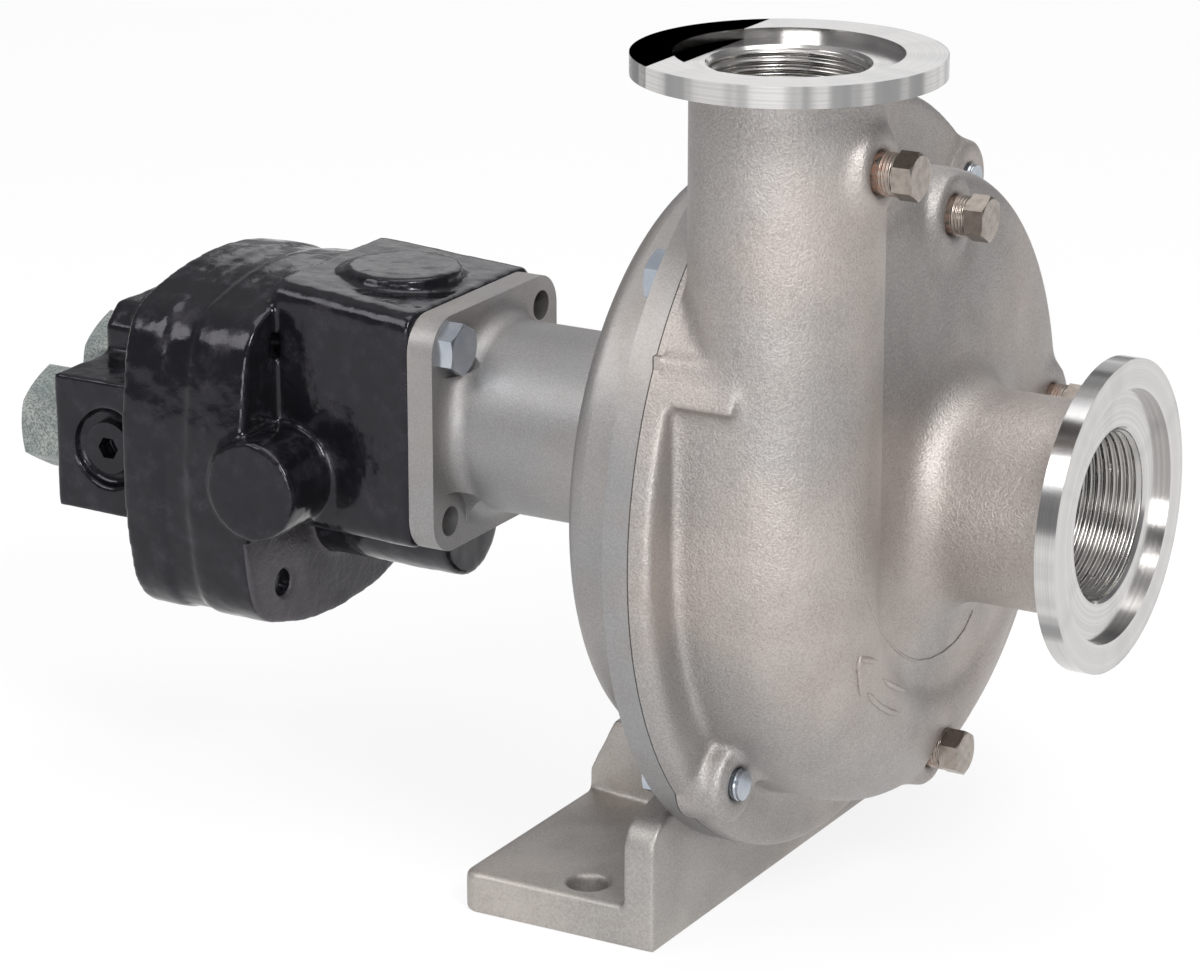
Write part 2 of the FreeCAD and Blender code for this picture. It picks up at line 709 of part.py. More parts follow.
def make_foot():
    body = new_body("foot", None)
    front = "joint_face - plate_flange_thickness"
    wall_rear = front + " - foot_wall_thickness"

    def plate(sketch):
        outline(sketch, [("foot_rear", "-foot_half_width", "foot_corner_rounding"),
                         (front, "-foot_half_width"), (front, "foot_half_width"),
                         ("foot_rear", "foot_half_width", "foot_corner_rounding")])

    base = prism(body, plate, "foot_plate_thickness", role="XY_Plane")
    edges = ["Edge%d" % (i + 1) for i, edge in enumerate(base.Shape.Edges)
             if edge.BoundBox.ZMin > v.foot_plate_thickness - 0.1 and edge.BoundBox.XMin < -1]
    rounding = body.newObject("PartDesign::Fillet", "plate_edges")
    rounding.Base = (base, edges)
    rounding.setExpression("Radius", bound("foot_edge_rounding"))
    doc.recompute()

    def wall(sketch):
        top = "foot_wall_end_height + foot_wall_slope_rise"
        inner = "foot_half_width - foot_wall_slope_width"
        end = "foot_half_width"
        outline(sketch, [("-" + end, "0"), (end, "0"), (end, "foot_wall_end_height", "foot_end_rounding"),
                         (inner, top), ("-(" + inner + ")", top),
                         ("-" + end, "foot_wall_end_height", "foot_end_rounding")])

    prism(body, wall, "foot_wall_thickness", offset=wall_rear)
    top = "shaft_height - drum_radius - foot_drum_gap"
    sections = []
    for place, half, high in (("foot_rear", "gusset_half_width", "foot_plate_thickness + gusset_nose_height"),
                              ("foot_rear + gusset_slope_length", "gusset_half_width + gusset_flare / 4", top),
                              (wall_rear, "gusset_half_width + gusset_flare", top)):
        sketch = new_sketch(body, "YZ_Plane", place)
        outline(sketch, [("-(" + half + ")", "0"), (half, "0"), (half, high), ("-(" + half + ")", high)])
        sections.append(sketch)
    doc.recompute()
    gusset = body.newObject("PartDesign::AdditiveLoft", "gusset")
    gusset.Profile = sections[0]
    gusset.Sections = sections[1:]
    gusset.Ruled = True
    doc.recompute()
    prism(body, lambda s: circles(s, [("0", "shaft_height")], "drum_radius + foot_drum_gap"),
          "foot_wall_thickness + 20", offset="drum_rear - foot_drum_gap - 1", cut=True)
    base_holes = [("0", "foot_hole_half_spacing"), ("0", "-foot_hole_half_spacing")]
    prism(body, lambda s: circles(s, base_holes, "foot_hole_radius"),
          "foot_plate_thickness + 1", role="XY_Plane", cut=True)
    screw_holes = [(y, "shaft_height " + z) for y, z in
                   ((y, z.replace("-", "- ", 1)) for y, z in FOOT_SCREW_PLACES)]
    prism(body, lambda s: circles(s, screw_holes, "foot_screw_radius + bolt_clearance"),
          "foot_wall_thickness + 1", offset=wall_rear, cut=True)
    screws = []
    drop = math.sqrt(v.foot_screw_circle_radius ** 2 - v.foot_screw_half_spacing ** 2)
    seat = v.joint_face - v.plate_flange_thickness - v.foot_wall_thickness
    length = v.foot_wall_thickness + v.plate_flange_thickness - 1.5
    for side in (-1, 1):
        screws.append(screw(on_shaft(seat, side * v.foot_screw_half_spacing, -drop), v.foot_screw_radius,
                            length, v.bolt_across_flats, v.bolt_head_height, X_AXIS))
    group_node("foot_screws", screws)


# Shaft, bearing and seal

def cut_keyway(body, start, length, radius):
    """Cut a keyway in a turned body, half a key deep into a shaft of the given radius."""
    def section(sketch):
        low = radius + " - key_side / 2"
        high = radius + " + key_side / 2"
        outline(sketch, [("-key_side / 2", low), ("key_side / 2", low), ("key_side / 2", high),
                         ("-key_side / 2", high)])

    prism(body, section, length, offset=start, cut=True)


def make_key(label, start, radius):
    """Make a square key that stands half its height out of a shaft."""
    corner = on_shaft(start, -v.key_side / 2, radius - v.key_side / 2)
    return shape_node(label, Part.makeBox(v.key_length, v.key_side, v.key_side, corner))


def make_shaft_group():
    rear = "bearing_front - bearing_width"
    sleeve_rear = rear + " - sleeve_length"
    shaft = turned_piece("pump_shaft", [
        (sleeve_rear, "drive_shaft_radius"), (sleeve_rear, "sleeve_radius"), (rear, "sleeve_radius"),
        (rear, "shaft_radius"), ("shaft_shoulder", "shaft_radius"), ("shaft_shoulder", "shaft_nose_radius"),
        ("impeller_hub_front - 1", "shaft_nose_radius"), ("impeller_hub_front - 1", "shaft_thread_radius"),
        ("impeller_hub_front + washer_thickness + nut_height - 1", "shaft_thread_radius"),
        ("impeller_hub_front + washer_thickness + nut_height - 1", "0"), (rear + " - 4", "0"),
        (rear + " - 4", "drive_shaft_radius")])
    impeller_key = "shaft_shoulder + key_end_distance"
    drive_key = sleeve_rear + " + key_end_distance"
    cut_keyway(shaft, impeller_key, "key_length", "shaft_nose_radius")
    cut_keyway(shaft, drive_key, "key_length", "drive_shaft_radius")
    make_key("impeller_key", v.shaft_shoulder + v.key_end_distance, v.shaft_nose_radius)
    make_key("drive_key", v.bearing_front - v.bearing_width - v.sleeve_length + v.key_end_distance,
             v.drive_shaft_radius)
    inner_outer = "shaft_radius + bearing_ring_wall"
    outer_inner = "bearing_outer_radius - bearing_ring_wall"
    middle = v.bearing_front - v.bearing_width / 2
    pitch = (v.shaft_radius + v.bearing_outer_radius) / 2
    track = Part.makeTorus(pitch, v.ball_radius + v.running_clearance, on_shaft(middle), X_AXIS)
    for label, low, high in (("bearing_inner_ring", v.shaft_radius, v.shaft_radius + v.bearing_ring_wall),
                             ("bearing_outer_ring", v.bearing_outer_radius - v.bearing_ring_wall,
                              v.bearing_outer_radius)):
        blank = revolved([(v.bearing_front, low), (v.bearing_front, high),
                          (v.bearing_front - v.bearing_width, high), (v.bearing_front - v.bearing_width, low)])
        shape_node(label, blank.cut(track))
    places = [on_shaft(middle, *polar(pitch, 360 / v.ball_count * i)) for i in range(int(v.ball_count))]
    group_node("bearing_balls", [Part.makeSphere(v.ball_radius, place) for place in places])
    half = v.ball_radius + v.cage_wall
    low = pitch - v.cage_wall
    high = pitch + v.cage_wall
    cage = revolved([(middle - half, low), (middle - half, high), (middle + half, high),
                     (middle + half, low)])
    pockets = [Part.makeSphere(v.ball_radius, place) for place in places]
    shape_node("bearing_cage", cage.cut(pockets))
    clip_rear = v.bearing_front - v.bearing_width - v.clip_thickness
    clip_inner = v.bearing_outer_radius - 2.5
    clip = revolved([(clip_rear, clip_inner), (clip_rear, v.bearing_outer_radius + v.clip_depth),
                     (clip_rear + v.clip_thickness, v.bearing_outer_radius + v.clip_depth),
                     (clip_rear + v.clip_thickness, clip_inner)])
    gap = Part.makeBox(v.clip_thickness + 2, 8, v.bearing_outer_radius * 2,
                       on_shaft(clip_rear - 1, -4, 0))
    shape_node("bearing_clip", clip.cut(gap))
    ring_piece("slinger", "bearing_front + 3", "bearing_front + 7", "shaft_radius", "slinger_radius")
    seat_rear = "seal_seat_front - seal_seat_width"
    gasket_inner = "seal_seat_radius - seal_gasket_wall"
    ring_piece("seal_seat", seat_rear, "seal_seat_front", "seal_seat_bore", gasket_inner)
    ring_piece("seal_seat_gasket", seat_rear, "seal_seat_front - 1", gasket_inner, "seal_seat_radius")
    carbon_front = "seal_seat_front + seal_ring_width"
    ring_piece("seal_ring", "seal_seat_front + running_clearance", carbon_front, "shaft_radius",
               "seal_head_radius")
    ring_piece("seal_sleeve", carbon_front, carbon_front + " + seal_head_width", "shaft_radius",
               "seal_head_radius - 1")
    holder = carbon_front + " + retainer_thickness"
    flange = "seal_head_radius + bellows_gap + bellows_fold_height + bellows_wall"
    turned_piece("seal_holder", [(carbon_front, "seal_head_radius - 1"), (carbon_front, flange),
                                 (holder, flange), (holder, "seal_head_radius"),
                                 (carbon_front + " + seal_head_width", "seal_head_radius"),
                                 (carbon_front + " + seal_head_width", "seal_head_radius - 1")])
    bellows_rear = holder
    fold = "(impeller_back - retainer_thickness - (%s)) / (2 * bellows_folds)" % bellows_rear
    valley = "seal_head_radius + bellows_gap"
    wave = []
    for i in range(int(2 * v.bellows_folds) + 1):
        crest = " + bellows_fold_height" if i % 2 else ""
        wave.append((bellows_rear + " + %d * %s" % (i, fold), valley + crest))
    turned_piece("seal_bellows", wave + [(x, r + " + bellows_wall") for x, r in wave[::-1]])
    ring_piece("bellows_collar", "impeller_back - retainer_thickness", "impeller_back", "hub_radius", flange)


# Impeller

def draw_vane(sketch):
    """One backward curved vane between the eye and the rim of the impeller."""
    corners = []
    for radius, degrees in (("eye_radius + 1", "0"), ("impeller_radius", "vane_wrap_angle"),
                            ("impeller_radius", "vane_wrap_angle + vane_span_angle"),
                            ("eye_radius + 1", "vane_span_angle")):
        corners.append(("(%s) * cos(%s)" % (radius, degrees), "(%s) * sin(%s)" % (radius, degrees)))
    points = [Vector(number(sketch, x), number(sketch, y), 0) for x, y in corners]
    radius = v.vane_arc_radius
    edges = []
    for start, end in ((0, 1), (3, 2)):
        chord = points[end] - points[start]
        outward = Vector(chord.y, -chord.x, 0).normalize()
        sagitta = radius - math.sqrt(radius ** 2 - (chord.Length / 2) ** 2)
        middle = (points[start] + points[end]) * 0.5 + outward * sagitta
        edges.append((sketch.addGeometry(Part.Arc(points[start], middle, points[end]), False), start, end))
    for start, end in ((1, 2), (3, 0)):
        edges.append((sketch.addGeometry(Part.LineSegment(points[start], points[end]), False), start, end))
    placed = {}
    for geometry, start, end in edges:
        for point in (1, 2):
            spot = sketch.getPoint(geometry, point)
            corner = start if (spot - points[start]).Length < (spot - points[end]).Length else end
            if corner in placed:
                sketch.addConstraint(Sketcher.Constraint("Coincident", geometry, point, *placed[corner]))
            else:
                placed[corner] = (geometry, point)
                fix_point(sketch, geometry, point, *corners[corner])
    for geometry, start, end in edges[:2]:
        fix_radius(sketch, geometry, "vane_arc_radius")


def make_impeller():
    body = new_body("impeller")
    floor = "impeller_back + impeller_shroud"
    tip = floor + " + vane_height_tip"
    eye = floor + " + vane_height_eye"
    hub_front = "impeller_hub_front"
    turn(body, [("shaft_shoulder", "shaft_nose_radius"), (hub_front, "shaft_nose_radius"),
                (hub_front, "hub_radius"), (floor, "hub_radius + 4"), (floor, "impeller_radius"),
                ("impeller_back", "impeller_radius"), ("impeller_back", "hub_radius"),
                ("shaft_shoulder", "hub_radius")])
    vane = prism(body, draw_vane, "vane_height_eye + impeller_shroud / 2", offset=floor)
    pattern = body.newObject("PartDesign::PolarPattern", "vanes")
    pattern.Originals = [vane]
    axis = [f for f in body.Origin.OriginFeatures if f.Role == "X_Axis"][0]
    pattern.Axis = (axis, [""])
    pattern.Angle = 360
    pattern.setExpression("Occurrences", bound("vane_count"))
    body.Tip = pattern
    doc.recompute()
    shroud_tip = tip + " + impeller_shroud"
    shroud_eye = eye + " + impeller_shroud"
    nose = shroud_eye + " + wear_ring_width"
    turn(body, [(tip, "impeller_radius"), (shroud_tip, "impeller_radius"), (shroud_eye, "eye_hub_radius"),
                (nose, "eye_hub_radius"), (nose, "eye_radius"), (eye, "eye_radius")])
    turn(body, [(shroud_tip, "impeller_radius + 1"), (shroud_tip, "impeller_radius"),
                (shroud_eye, "eye_hub_radius"), (nose, "eye_hub_radius"), (nose, "impeller_radius + 1")],
         cut=True)
    cut_keyway(body, "impeller_back - 2", "impeller_hub_front - impeller_back + 3", "shaft_nose_radius")
    washer = "impeller_hub_front + washer_thickness"
    ring_piece("impeller_washer", "impeller_hub_front", washer, "shaft_nose_radius - 2.4", "hub_radius - 2")
    nut_seat = on_shaft(v.impeller_hub_front + v.washer_thickness)
    nut = hexagon(nut_seat, v.nut_across_flats, v.nut_height)
    stud = rod(nut_seat, v.shaft_thread_radius, v.nut_height - 1)
    shape_node("impeller_nut", nut.cut(stud))


# Hydraulic motor

def gear_tooth_points(radius_base, radius_tip, radius_pitch, half_angle):
    """Right flank of an involute tooth centred on +Z, from the base circle to the tip."""
    roll_pitch = math.sqrt((radius_pitch / radius_base) ** 2 - 1)
    offset = half_angle + roll_pitch - math.atan(roll_pitch)
    points = []
    for i in range(6):
        radius = radius_base + (radius_tip - radius_base) * i / 5
        roll = math.sqrt((radius / radius_base) ** 2 - 1)
        turn_angle = offset - (roll - math.atan(roll))
        points.append((radius * math.sin(turn_angle), radius * math.cos(turn_angle)))
    return points


def gear(centre_z, phase):
    """A spur gear with involute flanks, about an axis along X at a height from the shaft line."""
    teeth = int(v.gear_teeth)
    pitch_radius = v.gear_centre_distance / 2
    module = 2 * pitch_radius / teeth
    base = pitch_radius * math.cos(math.radians(v.gear_pressure_angle))
    tip = pitch_radius + module
    root = pitch_radius - module * 1.25
    half = math.pi / 2 / teeth - v.gear_backlash / 2 / pitch_radius
    x0 = v.gear_plate_front
    flank = gear_tooth_points(base, tip, pitch_radius, half)

    def spot(y, z, angle):
        turned_y = y * math.cos(angle) - z * math.sin(angle)
        turned_z = y * math.sin(angle) + z * math.cos(angle)
        return on_shaft(x0, turned_y, turned_z + centre_z)

    edges = []
    first = None
    last = None
    for i in range(teeth):
        angle = 2 * math.pi * i / teeth + phase
        left = [spot(-y, z, angle) for y, z in flank]
        right = [spot(y, z, angle) for y, z in flank]
        foot_y, foot_z = flank[0]
        shrink = root / base
        left_foot = spot(-foot_y * shrink, foot_z * shrink, angle)
        right_foot = spot(foot_y * shrink, foot_z * shrink, angle)
        tip_middle = spot(0, tip, angle)
        if last is not None:
            edges.append(Part.makeLine(last, right_foot))
        first = first or right_foot
        side = Part.BSplineCurve()
        side.interpolate(right)
        other = Part.BSplineCurve()
        other.interpolate(left[::-1])
        edges += [Part.makeLine(right_foot, right[0]), side.toShape(),
                  Part.Arc(right[-1], tip_middle, left[-1]).toShape(), other.toShape(),
                  Part.makeLine(left[0], left_foot)]
        last = left_foot
    edges.append(Part.makeLine(last, first))
    blank = Part.Face(Part.Wire(edges)).extrude(Vector(-v.gear_width, 0, 0))
    return blank.cut(rod(on_shaft(x0 + 1, 0, centre_z), v.journal_radius, v.gear_width + 2, X_AXIS * -1))


def body_screw_places():
    """Y and Z, from the shaft line, of the screws that hold the motor's body together."""
    return [(side * v.body_screw_half_width, level * v.body_screw_half_height - v.motor_middle_drop)
            for side in (-1, 1) for level in (-1, 1)]


def motor_slice(x0, x1, inset=0.0):
    """A slice of the motor body: a square outline with bulging sides and round corners."""
    wide = v.motor_corner_width - inset
    high = v.motor_corner_height - inset
    half_width = v.motor_half_width - inset
    half_height = v.motor_half_height - inset
    drop = v.motor_middle_drop
    corners = [on_shaft(x0, y, z - drop) for y, z in ((-wide, -high), (wide, -high), (wide, high), (-wide, high))]
    bulges = [on_shaft(x0, y, z - drop) for y, z in ((0, -half_height), (half_width, 0), (0, half_height),
                                                     (-half_width, 0))]
    edges = [Part.Arc(corners[i], bulges[i], corners[(i + 1) % 4]).toShape() for i in range(4)]
    block = Part.Face(Part.Wire(edges)).extrude(Vector(x1 - x0, 0, 0))
    along = [e for e in block.Edges if e.BoundBox.XLength > 0.9 * abs(x1 - x0)]
    return block.makeFillet(v.motor_corner_rounding, along)


def port_places():
    """Middle of each of the two ports on the rear face of the port block."""
    return [("inlet_adaptor", on_shaft(v.port_block_rear, -18, -17.5)),
            ("outlet_adaptor", on_shaft(v.port_block_rear, 13, -8.5))]


def make_motor():
    idler = -v.gear_centre_distance
    plate_front = v.gear_plate_front
    plate_rear = plate_front - v.gear_width
    cover_rear = plate_rear - v.rear_cover_thickness
    disc_front = plate_front + v.front_disc_thickness
    joint = v.motor_joint
    wide = v.block_half_width
    bottom = -v.block_half_width

    # front housing: tapered block, disc, lobe over the idler shaft, round side boss and top pad
    front_wire = [on_shaft(joint, y, z) for y, z in
                  ((-wide, bottom), (wide, bottom), (wide, v.block_top - 1), (-wide, v.block_top - 1))]
    back_wide = wide - v.block_taper
    block_rear = disc_front - 2
    back_wire = [on_shaft(block_rear, y, z) for y, z in
                 ((-back_wide, bottom), (back_wide, bottom), (back_wide, v.block_top + v.block_taper),
                  (-back_wide, v.block_top + v.block_taper))]
    block = Part.makeLoft([Part.makePolygon(w + w[:1]) for w in (front_wire, back_wire)], True, True)
    long_edges = [e for e in block.Edges if e.BoundBox.XLength > (joint - block_rear) * 0.9]
    block = block.makeFillet(v.motor_flange_corner / 2, long_edges)
    disc = motor_slice(plate_front, disc_front)
    lobe = rod(on_shaft(joint, 0, idler), v.idler_lobe_radius, joint - plate_front, X_AXIS * -1)
    boss = rod(on_shaft(v.round_boss_place, 0, -v.round_boss_drop), v.round_boss_radius, v.round_boss_reach,
               Y_AXIS * -1)
    pad = rod(on_shaft(v.top_pad_place), v.top_pad_radius, v.block_top + v.top_pad_rise, Z_AXIS)
    pilot = rod(on_shaft(joint), v.bearing_outer_radius - v.running_clearance, v.pilot_length)
    housing = block.multiFuse([disc, lobe, boss, pad, pilot])
    seal_rear = joint - v.shaft_seal_width
    bush_front = plate_front + v.bush_length
    bush_outer = v.journal_radius + v.bush_wall
    shaft_cut = revolved([(joint + v.pilot_length + 1, 0), (joint + v.pilot_length + 1, v.shaft_seal_radius),
                          (seal_rear, v.shaft_seal_radius), (seal_rear, v.journal_radius + 1),
                          (bush_front, v.journal_radius + 1), (bush_front, bush_outer),
                          (plate_front - 1, bush_outer), (plate_front - 1, 0)])
    idler_cut = revolved([(bush_front, 0), (bush_front, bush_outer), (plate_front - 1, bush_outer),
                          (plate_front - 1, 0)], 0, idler)
    cuts = [shaft_cut, idler_cut]
    spacing = v.motor_bolt_spacing / 2
    seat = joint + v.motor_flange_thickness
    for y, z in ((-spacing, spacing), (spacing, -spacing)):
        cuts.append(rod(on_shaft(joint + 1, y, z), v.bolt_radius,
                        v.motor_bolt_length - v.motor_flange_thickness + 3, X_AXIS * -1))
    for y, z in body_screw_places():
        cuts.append(rod(on_shaft(plate_front - 1, y, z), v.body_screw_radius, v.front_disc_thickness + 2))
    shape_node("motor_front_housing", housing.cut(cuts))
    bolts = [screw(on_shaft(seat, y, z), v.bolt_radius, v.motor_bolt_length, v.bolt_across_flats,
                   v.bolt_head_height, X_AXIS * -1) for y, z in ((-spacing, spacing), (spacing, -spacing))]
    group_node("motor_bolts", bolts)

    # gear plate with its two meeting bores
    blank = motor_slice(plate_rear, plate_front, v.gear_plate_inset)
    tip = v.gear_centre_distance / 2 + v.gear_centre_distance / v.gear_teeth + v.gear_tip_clearance
    cuts = [rod(on_shaft(plate_rear - 1, 0, z), tip, v.gear_width + 2) for z in (0, idler)]
    cuts += [rod(on_shaft(plate_rear - 1, y, z), v.body_screw_radius, v.gear_width + 2)
             for y, z in body_screw_places()]
    shape_node("motor_gear_plate", blank.cut(cuts))

    # rear cover with its port block
    cover = motor_slice(cover_rear, plate_rear)
    side = v.port_block_side
    step = v.port_block_step
    low = slab([(-side, -v.port_block_low), (side - 6, -v.port_block_low), (side - 6, v.port_block_high),
                (-side, v.port_block_high)], v.port_block_rear, cover_rear + NUDGE)
    high = slab([(-step, 0), (side - 6, 0), (side - 6, v.port_block_high + step),
                 (-step + 6, v.port_block_high + step), (-step, v.port_block_high + 8)],
                v.port_block_rear, cover_rear + NUDGE)
    port_block = cover.multiFuse([low, high])
    cuts = []
    for z in (0, idler):
        cuts.append(rod(on_shaft(plate_rear + 1, 0, z), bush_outer, v.journal_rear_length + 1, X_AXIS * -1))
    for name, place in port_places():
        cuts.append(rod(place - Vector(1, 0, 0), v.adaptor_thread_radius, v.adaptor_thread_length + 2))
    plug_seat = Vector(v.port_plug_place, -side, v.shaft_height + (v.port_block_high - v.port_block_low) / 2)
    cuts.append(rod(plug_seat - Y_AXIS, v.port_recess_radius, v.port_recess_depth + 1, Y_AXIS))
    cuts.append(rod(plug_seat - Y_AXIS, v.port_plug_radius - 1, 14, Y_AXIS))
    for y, z in body_screw_places():
        cuts.append(rod(on_shaft(cover_rear - 1, y, z), v.body_screw_radius, v.rear_cover_thickness + 2))
        cuts.append(rod(on_shaft(cover_rear, y, z), v.bolt_across_flats / 2 + v.spot_face_margin,
                        v.spot_face_height, X_AXIS * -1))
    shape_node("motor_rear_cover", port_block.cut(cuts))
    length = v.rear_cover_thickness + v.gear_width + v.front_disc_thickness - 3
    group_node("motor_body_screws", [screw(on_shaft(cover_rear, y, z), v.body_screw_radius, length,
                                           v.bolt_across_flats, v.bolt_head_height, X_AXIS)
                                     for y, z in body_screw_places()])

    # port plug in its recess, and the two port adaptors
    plug_floor = plug_seat + Y_AXIS * v.port_recess_depth
    plug = rod(plug_floor, v.port_plug_radius, v.port_recess_depth - 0.4, Y_AXIS * -1)
    plug = plug.fuse(rod(plug_floor, v.port_plug_radius - 1, 10, Y_AXIS))
    socket = hexagon(plug_floor - Y_AXIS * v.port_recess_depth, 6, v.port_recess_depth + 3, Y_AXIS)
    shape_node("port_plug", plug.cut(socket))
    for name, place in port_places():
        nut = hexagon(place, v.adaptor_across_flats, v.adaptor_reach, X_AXIS * -1)
        stem = rod(place, v.adaptor_thread_radius, v.adaptor_thread_length)
        bore = rod(place - Vector(v.adaptor_reach + 1, 0, 0), v.adaptor_bore_radius,
                   v.adaptor_reach + v.adaptor_thread_length + 2)
        shape_node(name, nut.fuse(stem).cut(bore))

    # gears, shafts and their bushes
    journal_end = plate_rear - v.journal_rear_length + NUDGE
    shape_node("drive_gear", gear(0, math.pi))
    shape_node("idler_gear", gear(idler, math.pi / v.gear_teeth))
    sleeve_end = v.bearing_front - v.bearing_width - 5
    key_rear = v.bearing_front - v.bearing_width - v.sleeve_length + v.key_end_distance
    slot = Part.makeBox(v.key_length, v.key_side, v.key_side,
                        on_shaft(key_rear, -v.key_side / 2, v.journal_radius - v.key_side / 2))
    shape_node("motor_shaft", rod(on_shaft(journal_end), v.journal_radius,
                                  sleeve_end - journal_end).cut(slot))
    shape_node("idler_shaft", rod(on_shaft(journal_end, 0, idler), v.journal_radius,
                                  bush_front - NUDGE - journal_end))
    for label, z in (("drive", 0), ("idler", idler)):
        for end, x0, x1 in (("front", plate_front, bush_front), ("rear", plate_rear - v.journal_rear_length,
                                                                 plate_rear)):
            bore = v.journal_radius + v.running_clearance
            shape_node("%s_%s_bush" % (label, end),
                       revolved([(x0, bore), (x0, bush_outer), (x1, bush_outer), (x1, bore)], 0, z))
    lip = v.journal_radius + v.running_clearance
    shape_node("motor_shaft_seal", revolved([(seal_rear, lip), (seal_rear, v.shaft_seal_radius),
                                             (joint, v.shaft_seal_radius), (joint, lip)]))


# Build, check and write

make_casing()
make_back_plate()
make_foot()
make_shaft_group()
make_impeller()
make_motor()
doc.recompute()

for obj in doc.Objects:
    for word in ("Invalid", "Error"):
        if word in obj.State:
            raise RuntimeError("%s is %s" % (obj.Label, word))
os.makedirs("parts", exist_ok=True)
for node in nodes:
    shape = node.Shape
    if shape.isNull() or not shape.isValid() or not shape.Solids:
        raise RuntimeError("%s has no valid solid" % node.Label)
    shape.exportStep("parts/%s.step" % node.Label)
    print("%-22s %2d solids %10.0f mm3" % (node.Label, len(shape.Solids), shape.Volume))
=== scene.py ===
import logging
import math
from dataclasses import dataclass, field
from enum import Enum
from typing import Callable, Iterable, Sequence, Union

import bmesh
import bpy
import numpy as np
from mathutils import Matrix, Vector, noise
from mathutils.bvhtree import BVHTree


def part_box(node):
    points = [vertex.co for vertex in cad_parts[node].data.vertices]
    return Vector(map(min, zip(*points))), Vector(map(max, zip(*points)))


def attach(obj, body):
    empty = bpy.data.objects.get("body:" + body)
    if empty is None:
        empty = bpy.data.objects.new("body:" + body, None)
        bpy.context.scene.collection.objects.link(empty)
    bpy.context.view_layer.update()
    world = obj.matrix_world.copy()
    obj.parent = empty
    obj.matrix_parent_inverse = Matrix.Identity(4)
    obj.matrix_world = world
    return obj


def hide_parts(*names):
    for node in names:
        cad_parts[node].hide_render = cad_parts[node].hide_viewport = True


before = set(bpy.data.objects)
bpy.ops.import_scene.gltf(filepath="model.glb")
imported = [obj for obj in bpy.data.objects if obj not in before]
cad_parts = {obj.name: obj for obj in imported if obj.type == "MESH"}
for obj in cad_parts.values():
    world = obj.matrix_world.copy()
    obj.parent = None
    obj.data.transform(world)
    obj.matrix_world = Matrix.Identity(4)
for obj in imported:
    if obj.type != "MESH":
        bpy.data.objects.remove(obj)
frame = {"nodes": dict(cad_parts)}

LOG = logging.getLogger("pump")
SHAFT_HEIGHT = 0.1165
# The discharge pipe's axis, and the height above which the casing's finish turns about it
PIPE_X, PIPE_Y = 0.0577, -0.066
PIPE_LEVEL = 0.2
QUARTER_TURN = 1.57
SHARP_ANGLE = math.radians(38)
ON_PLANE = 1e-5
Value = Union[float, "Signal"]


class Axis(Enum):
    """The direction that a turned piece or a bore points in."""

    ALONG_SHAFT = (Vector((1, 0, 0)), Vector((0, 1, 0)), Vector((0, 0, 1)))
    UPWARD = (Vector((0, 0, 1)), Vector((1, 0, 0)), Vector((0, 1, 0)))

    @property
    def forward(self) -> Vector:
        """The axis itself."""
        return self.value[0]

    def spot(self, start: Vector, along: float, radius: float, angle: float) -> Vector:
        """A point around the axis.

        Args:
            start: The axis's origin.
            along: Distance along the axis.
            radius: Distance from the axis.
            angle: Angle about the axis, in radians.

        Returns:
            The point, in the part's frame.
        """
        forward, side, other = self.value
        return start + forward * along + (side * math.cos(angle) + other * math.sin(angle)) * radius


class Winding(Enum):
    """Which side of its wall a thread stands on."""

    INSIDE = -1
    OUTSIDE = 1


# Shader graphs

class Signal:
    """A socket of a material on which Python arithmetic adds Math nodes."""

    def __init__(self, graph: "Graph", socket: bpy.types.NodeSocket) -> None:
        """Wrap a socket of a graph."""
        self.graph = graph
        self.socket = socket

    def _math(self, operation: str, *values: Value) -> "Signal":
        """Add a Math node.

        Args:
            operation: The node's operation.
            values: Its inputs, in order.

        Returns:
            The node's result.
        """
        inputs = dict(enumerate(values))
        return self.graph.add("ShaderNodeMath", {"operation": operation}, inputs)["Value"]

    def __add__(self, other: Value) -> "Signal":
        """Sum."""
        return self._math("ADD", self, other)

    def __radd__(self, other: Value) -> "Signal":
        """Sum, reflected."""
        return self._math("ADD", other, self)

    def __sub__(self, other: Value) -> "Signal":
        """Difference."""
        return self._math("SUBTRACT", self, other)

    def __rsub__(self, other: Value) -> "Signal":
        """Difference, reflected."""
        return self._math("SUBTRACT", other, self)

    def __mul__(self, other: Value) -> "Signal":
        """Product."""
        return self._math("MULTIPLY", self, other)

    def __rmul__(self, other: Value) -> "Signal":
        """Product, reflected."""
        return self._math("MULTIPLY", other, self)

    def __gt__(self, other: Value) -> "Signal":
        """One where this is greater."""
        return self._math("GREATER_THAN", self, other)

    def __lt__(self, other: Value) -> "Signal":
        """One where this is less."""
        return self._math("LESS_THAN", self, other)

    def __or__(self, other: Value) -> "Signal":
        """The greater of two masks."""
        return self._math("MAXIMUM", self, other)

    def __and__(self, other: Value) -> "Signal":
        """The product of two masks."""
        return self._math("MULTIPLY", self, other)

    def sine(self) -> "Signal":
        """Sine, in radians."""
        return self._math("SINE", self)

    def root(self) -> "Signal":
        """Square root."""
        return self._math("SQRT", self)

    def angle_with(self, other: Value) -> "Signal":
        """Angle of the point whose height is this and whose width is the other."""
        return self._math("ARCTAN2", self, other)

    def between(self, low: float, high: float) -> "Signal":
        """One where this lies between two values."""
        return (self > low) & (self < high)

    def ramp(self, low: float, high: float, start: float = 0.0, end: float = 1.0) -> "Signal":
        """Map a range smoothly onto another.

        Args:
            low: Where the range begins.
            high: Where it ends.
            start: The result at its beginning.
            end: The result at its end.

        Returns:
            The mapped value, held at its ends.
        """
        settings = {"interpolation_type": "SMOOTHSTEP"}
        inputs = {"Value": self, "From Min": low, "From Max": high, "To Min": start, "To Max": end}
        return self.graph.add("ShaderNodeMapRange", settings, inputs)["Result"]


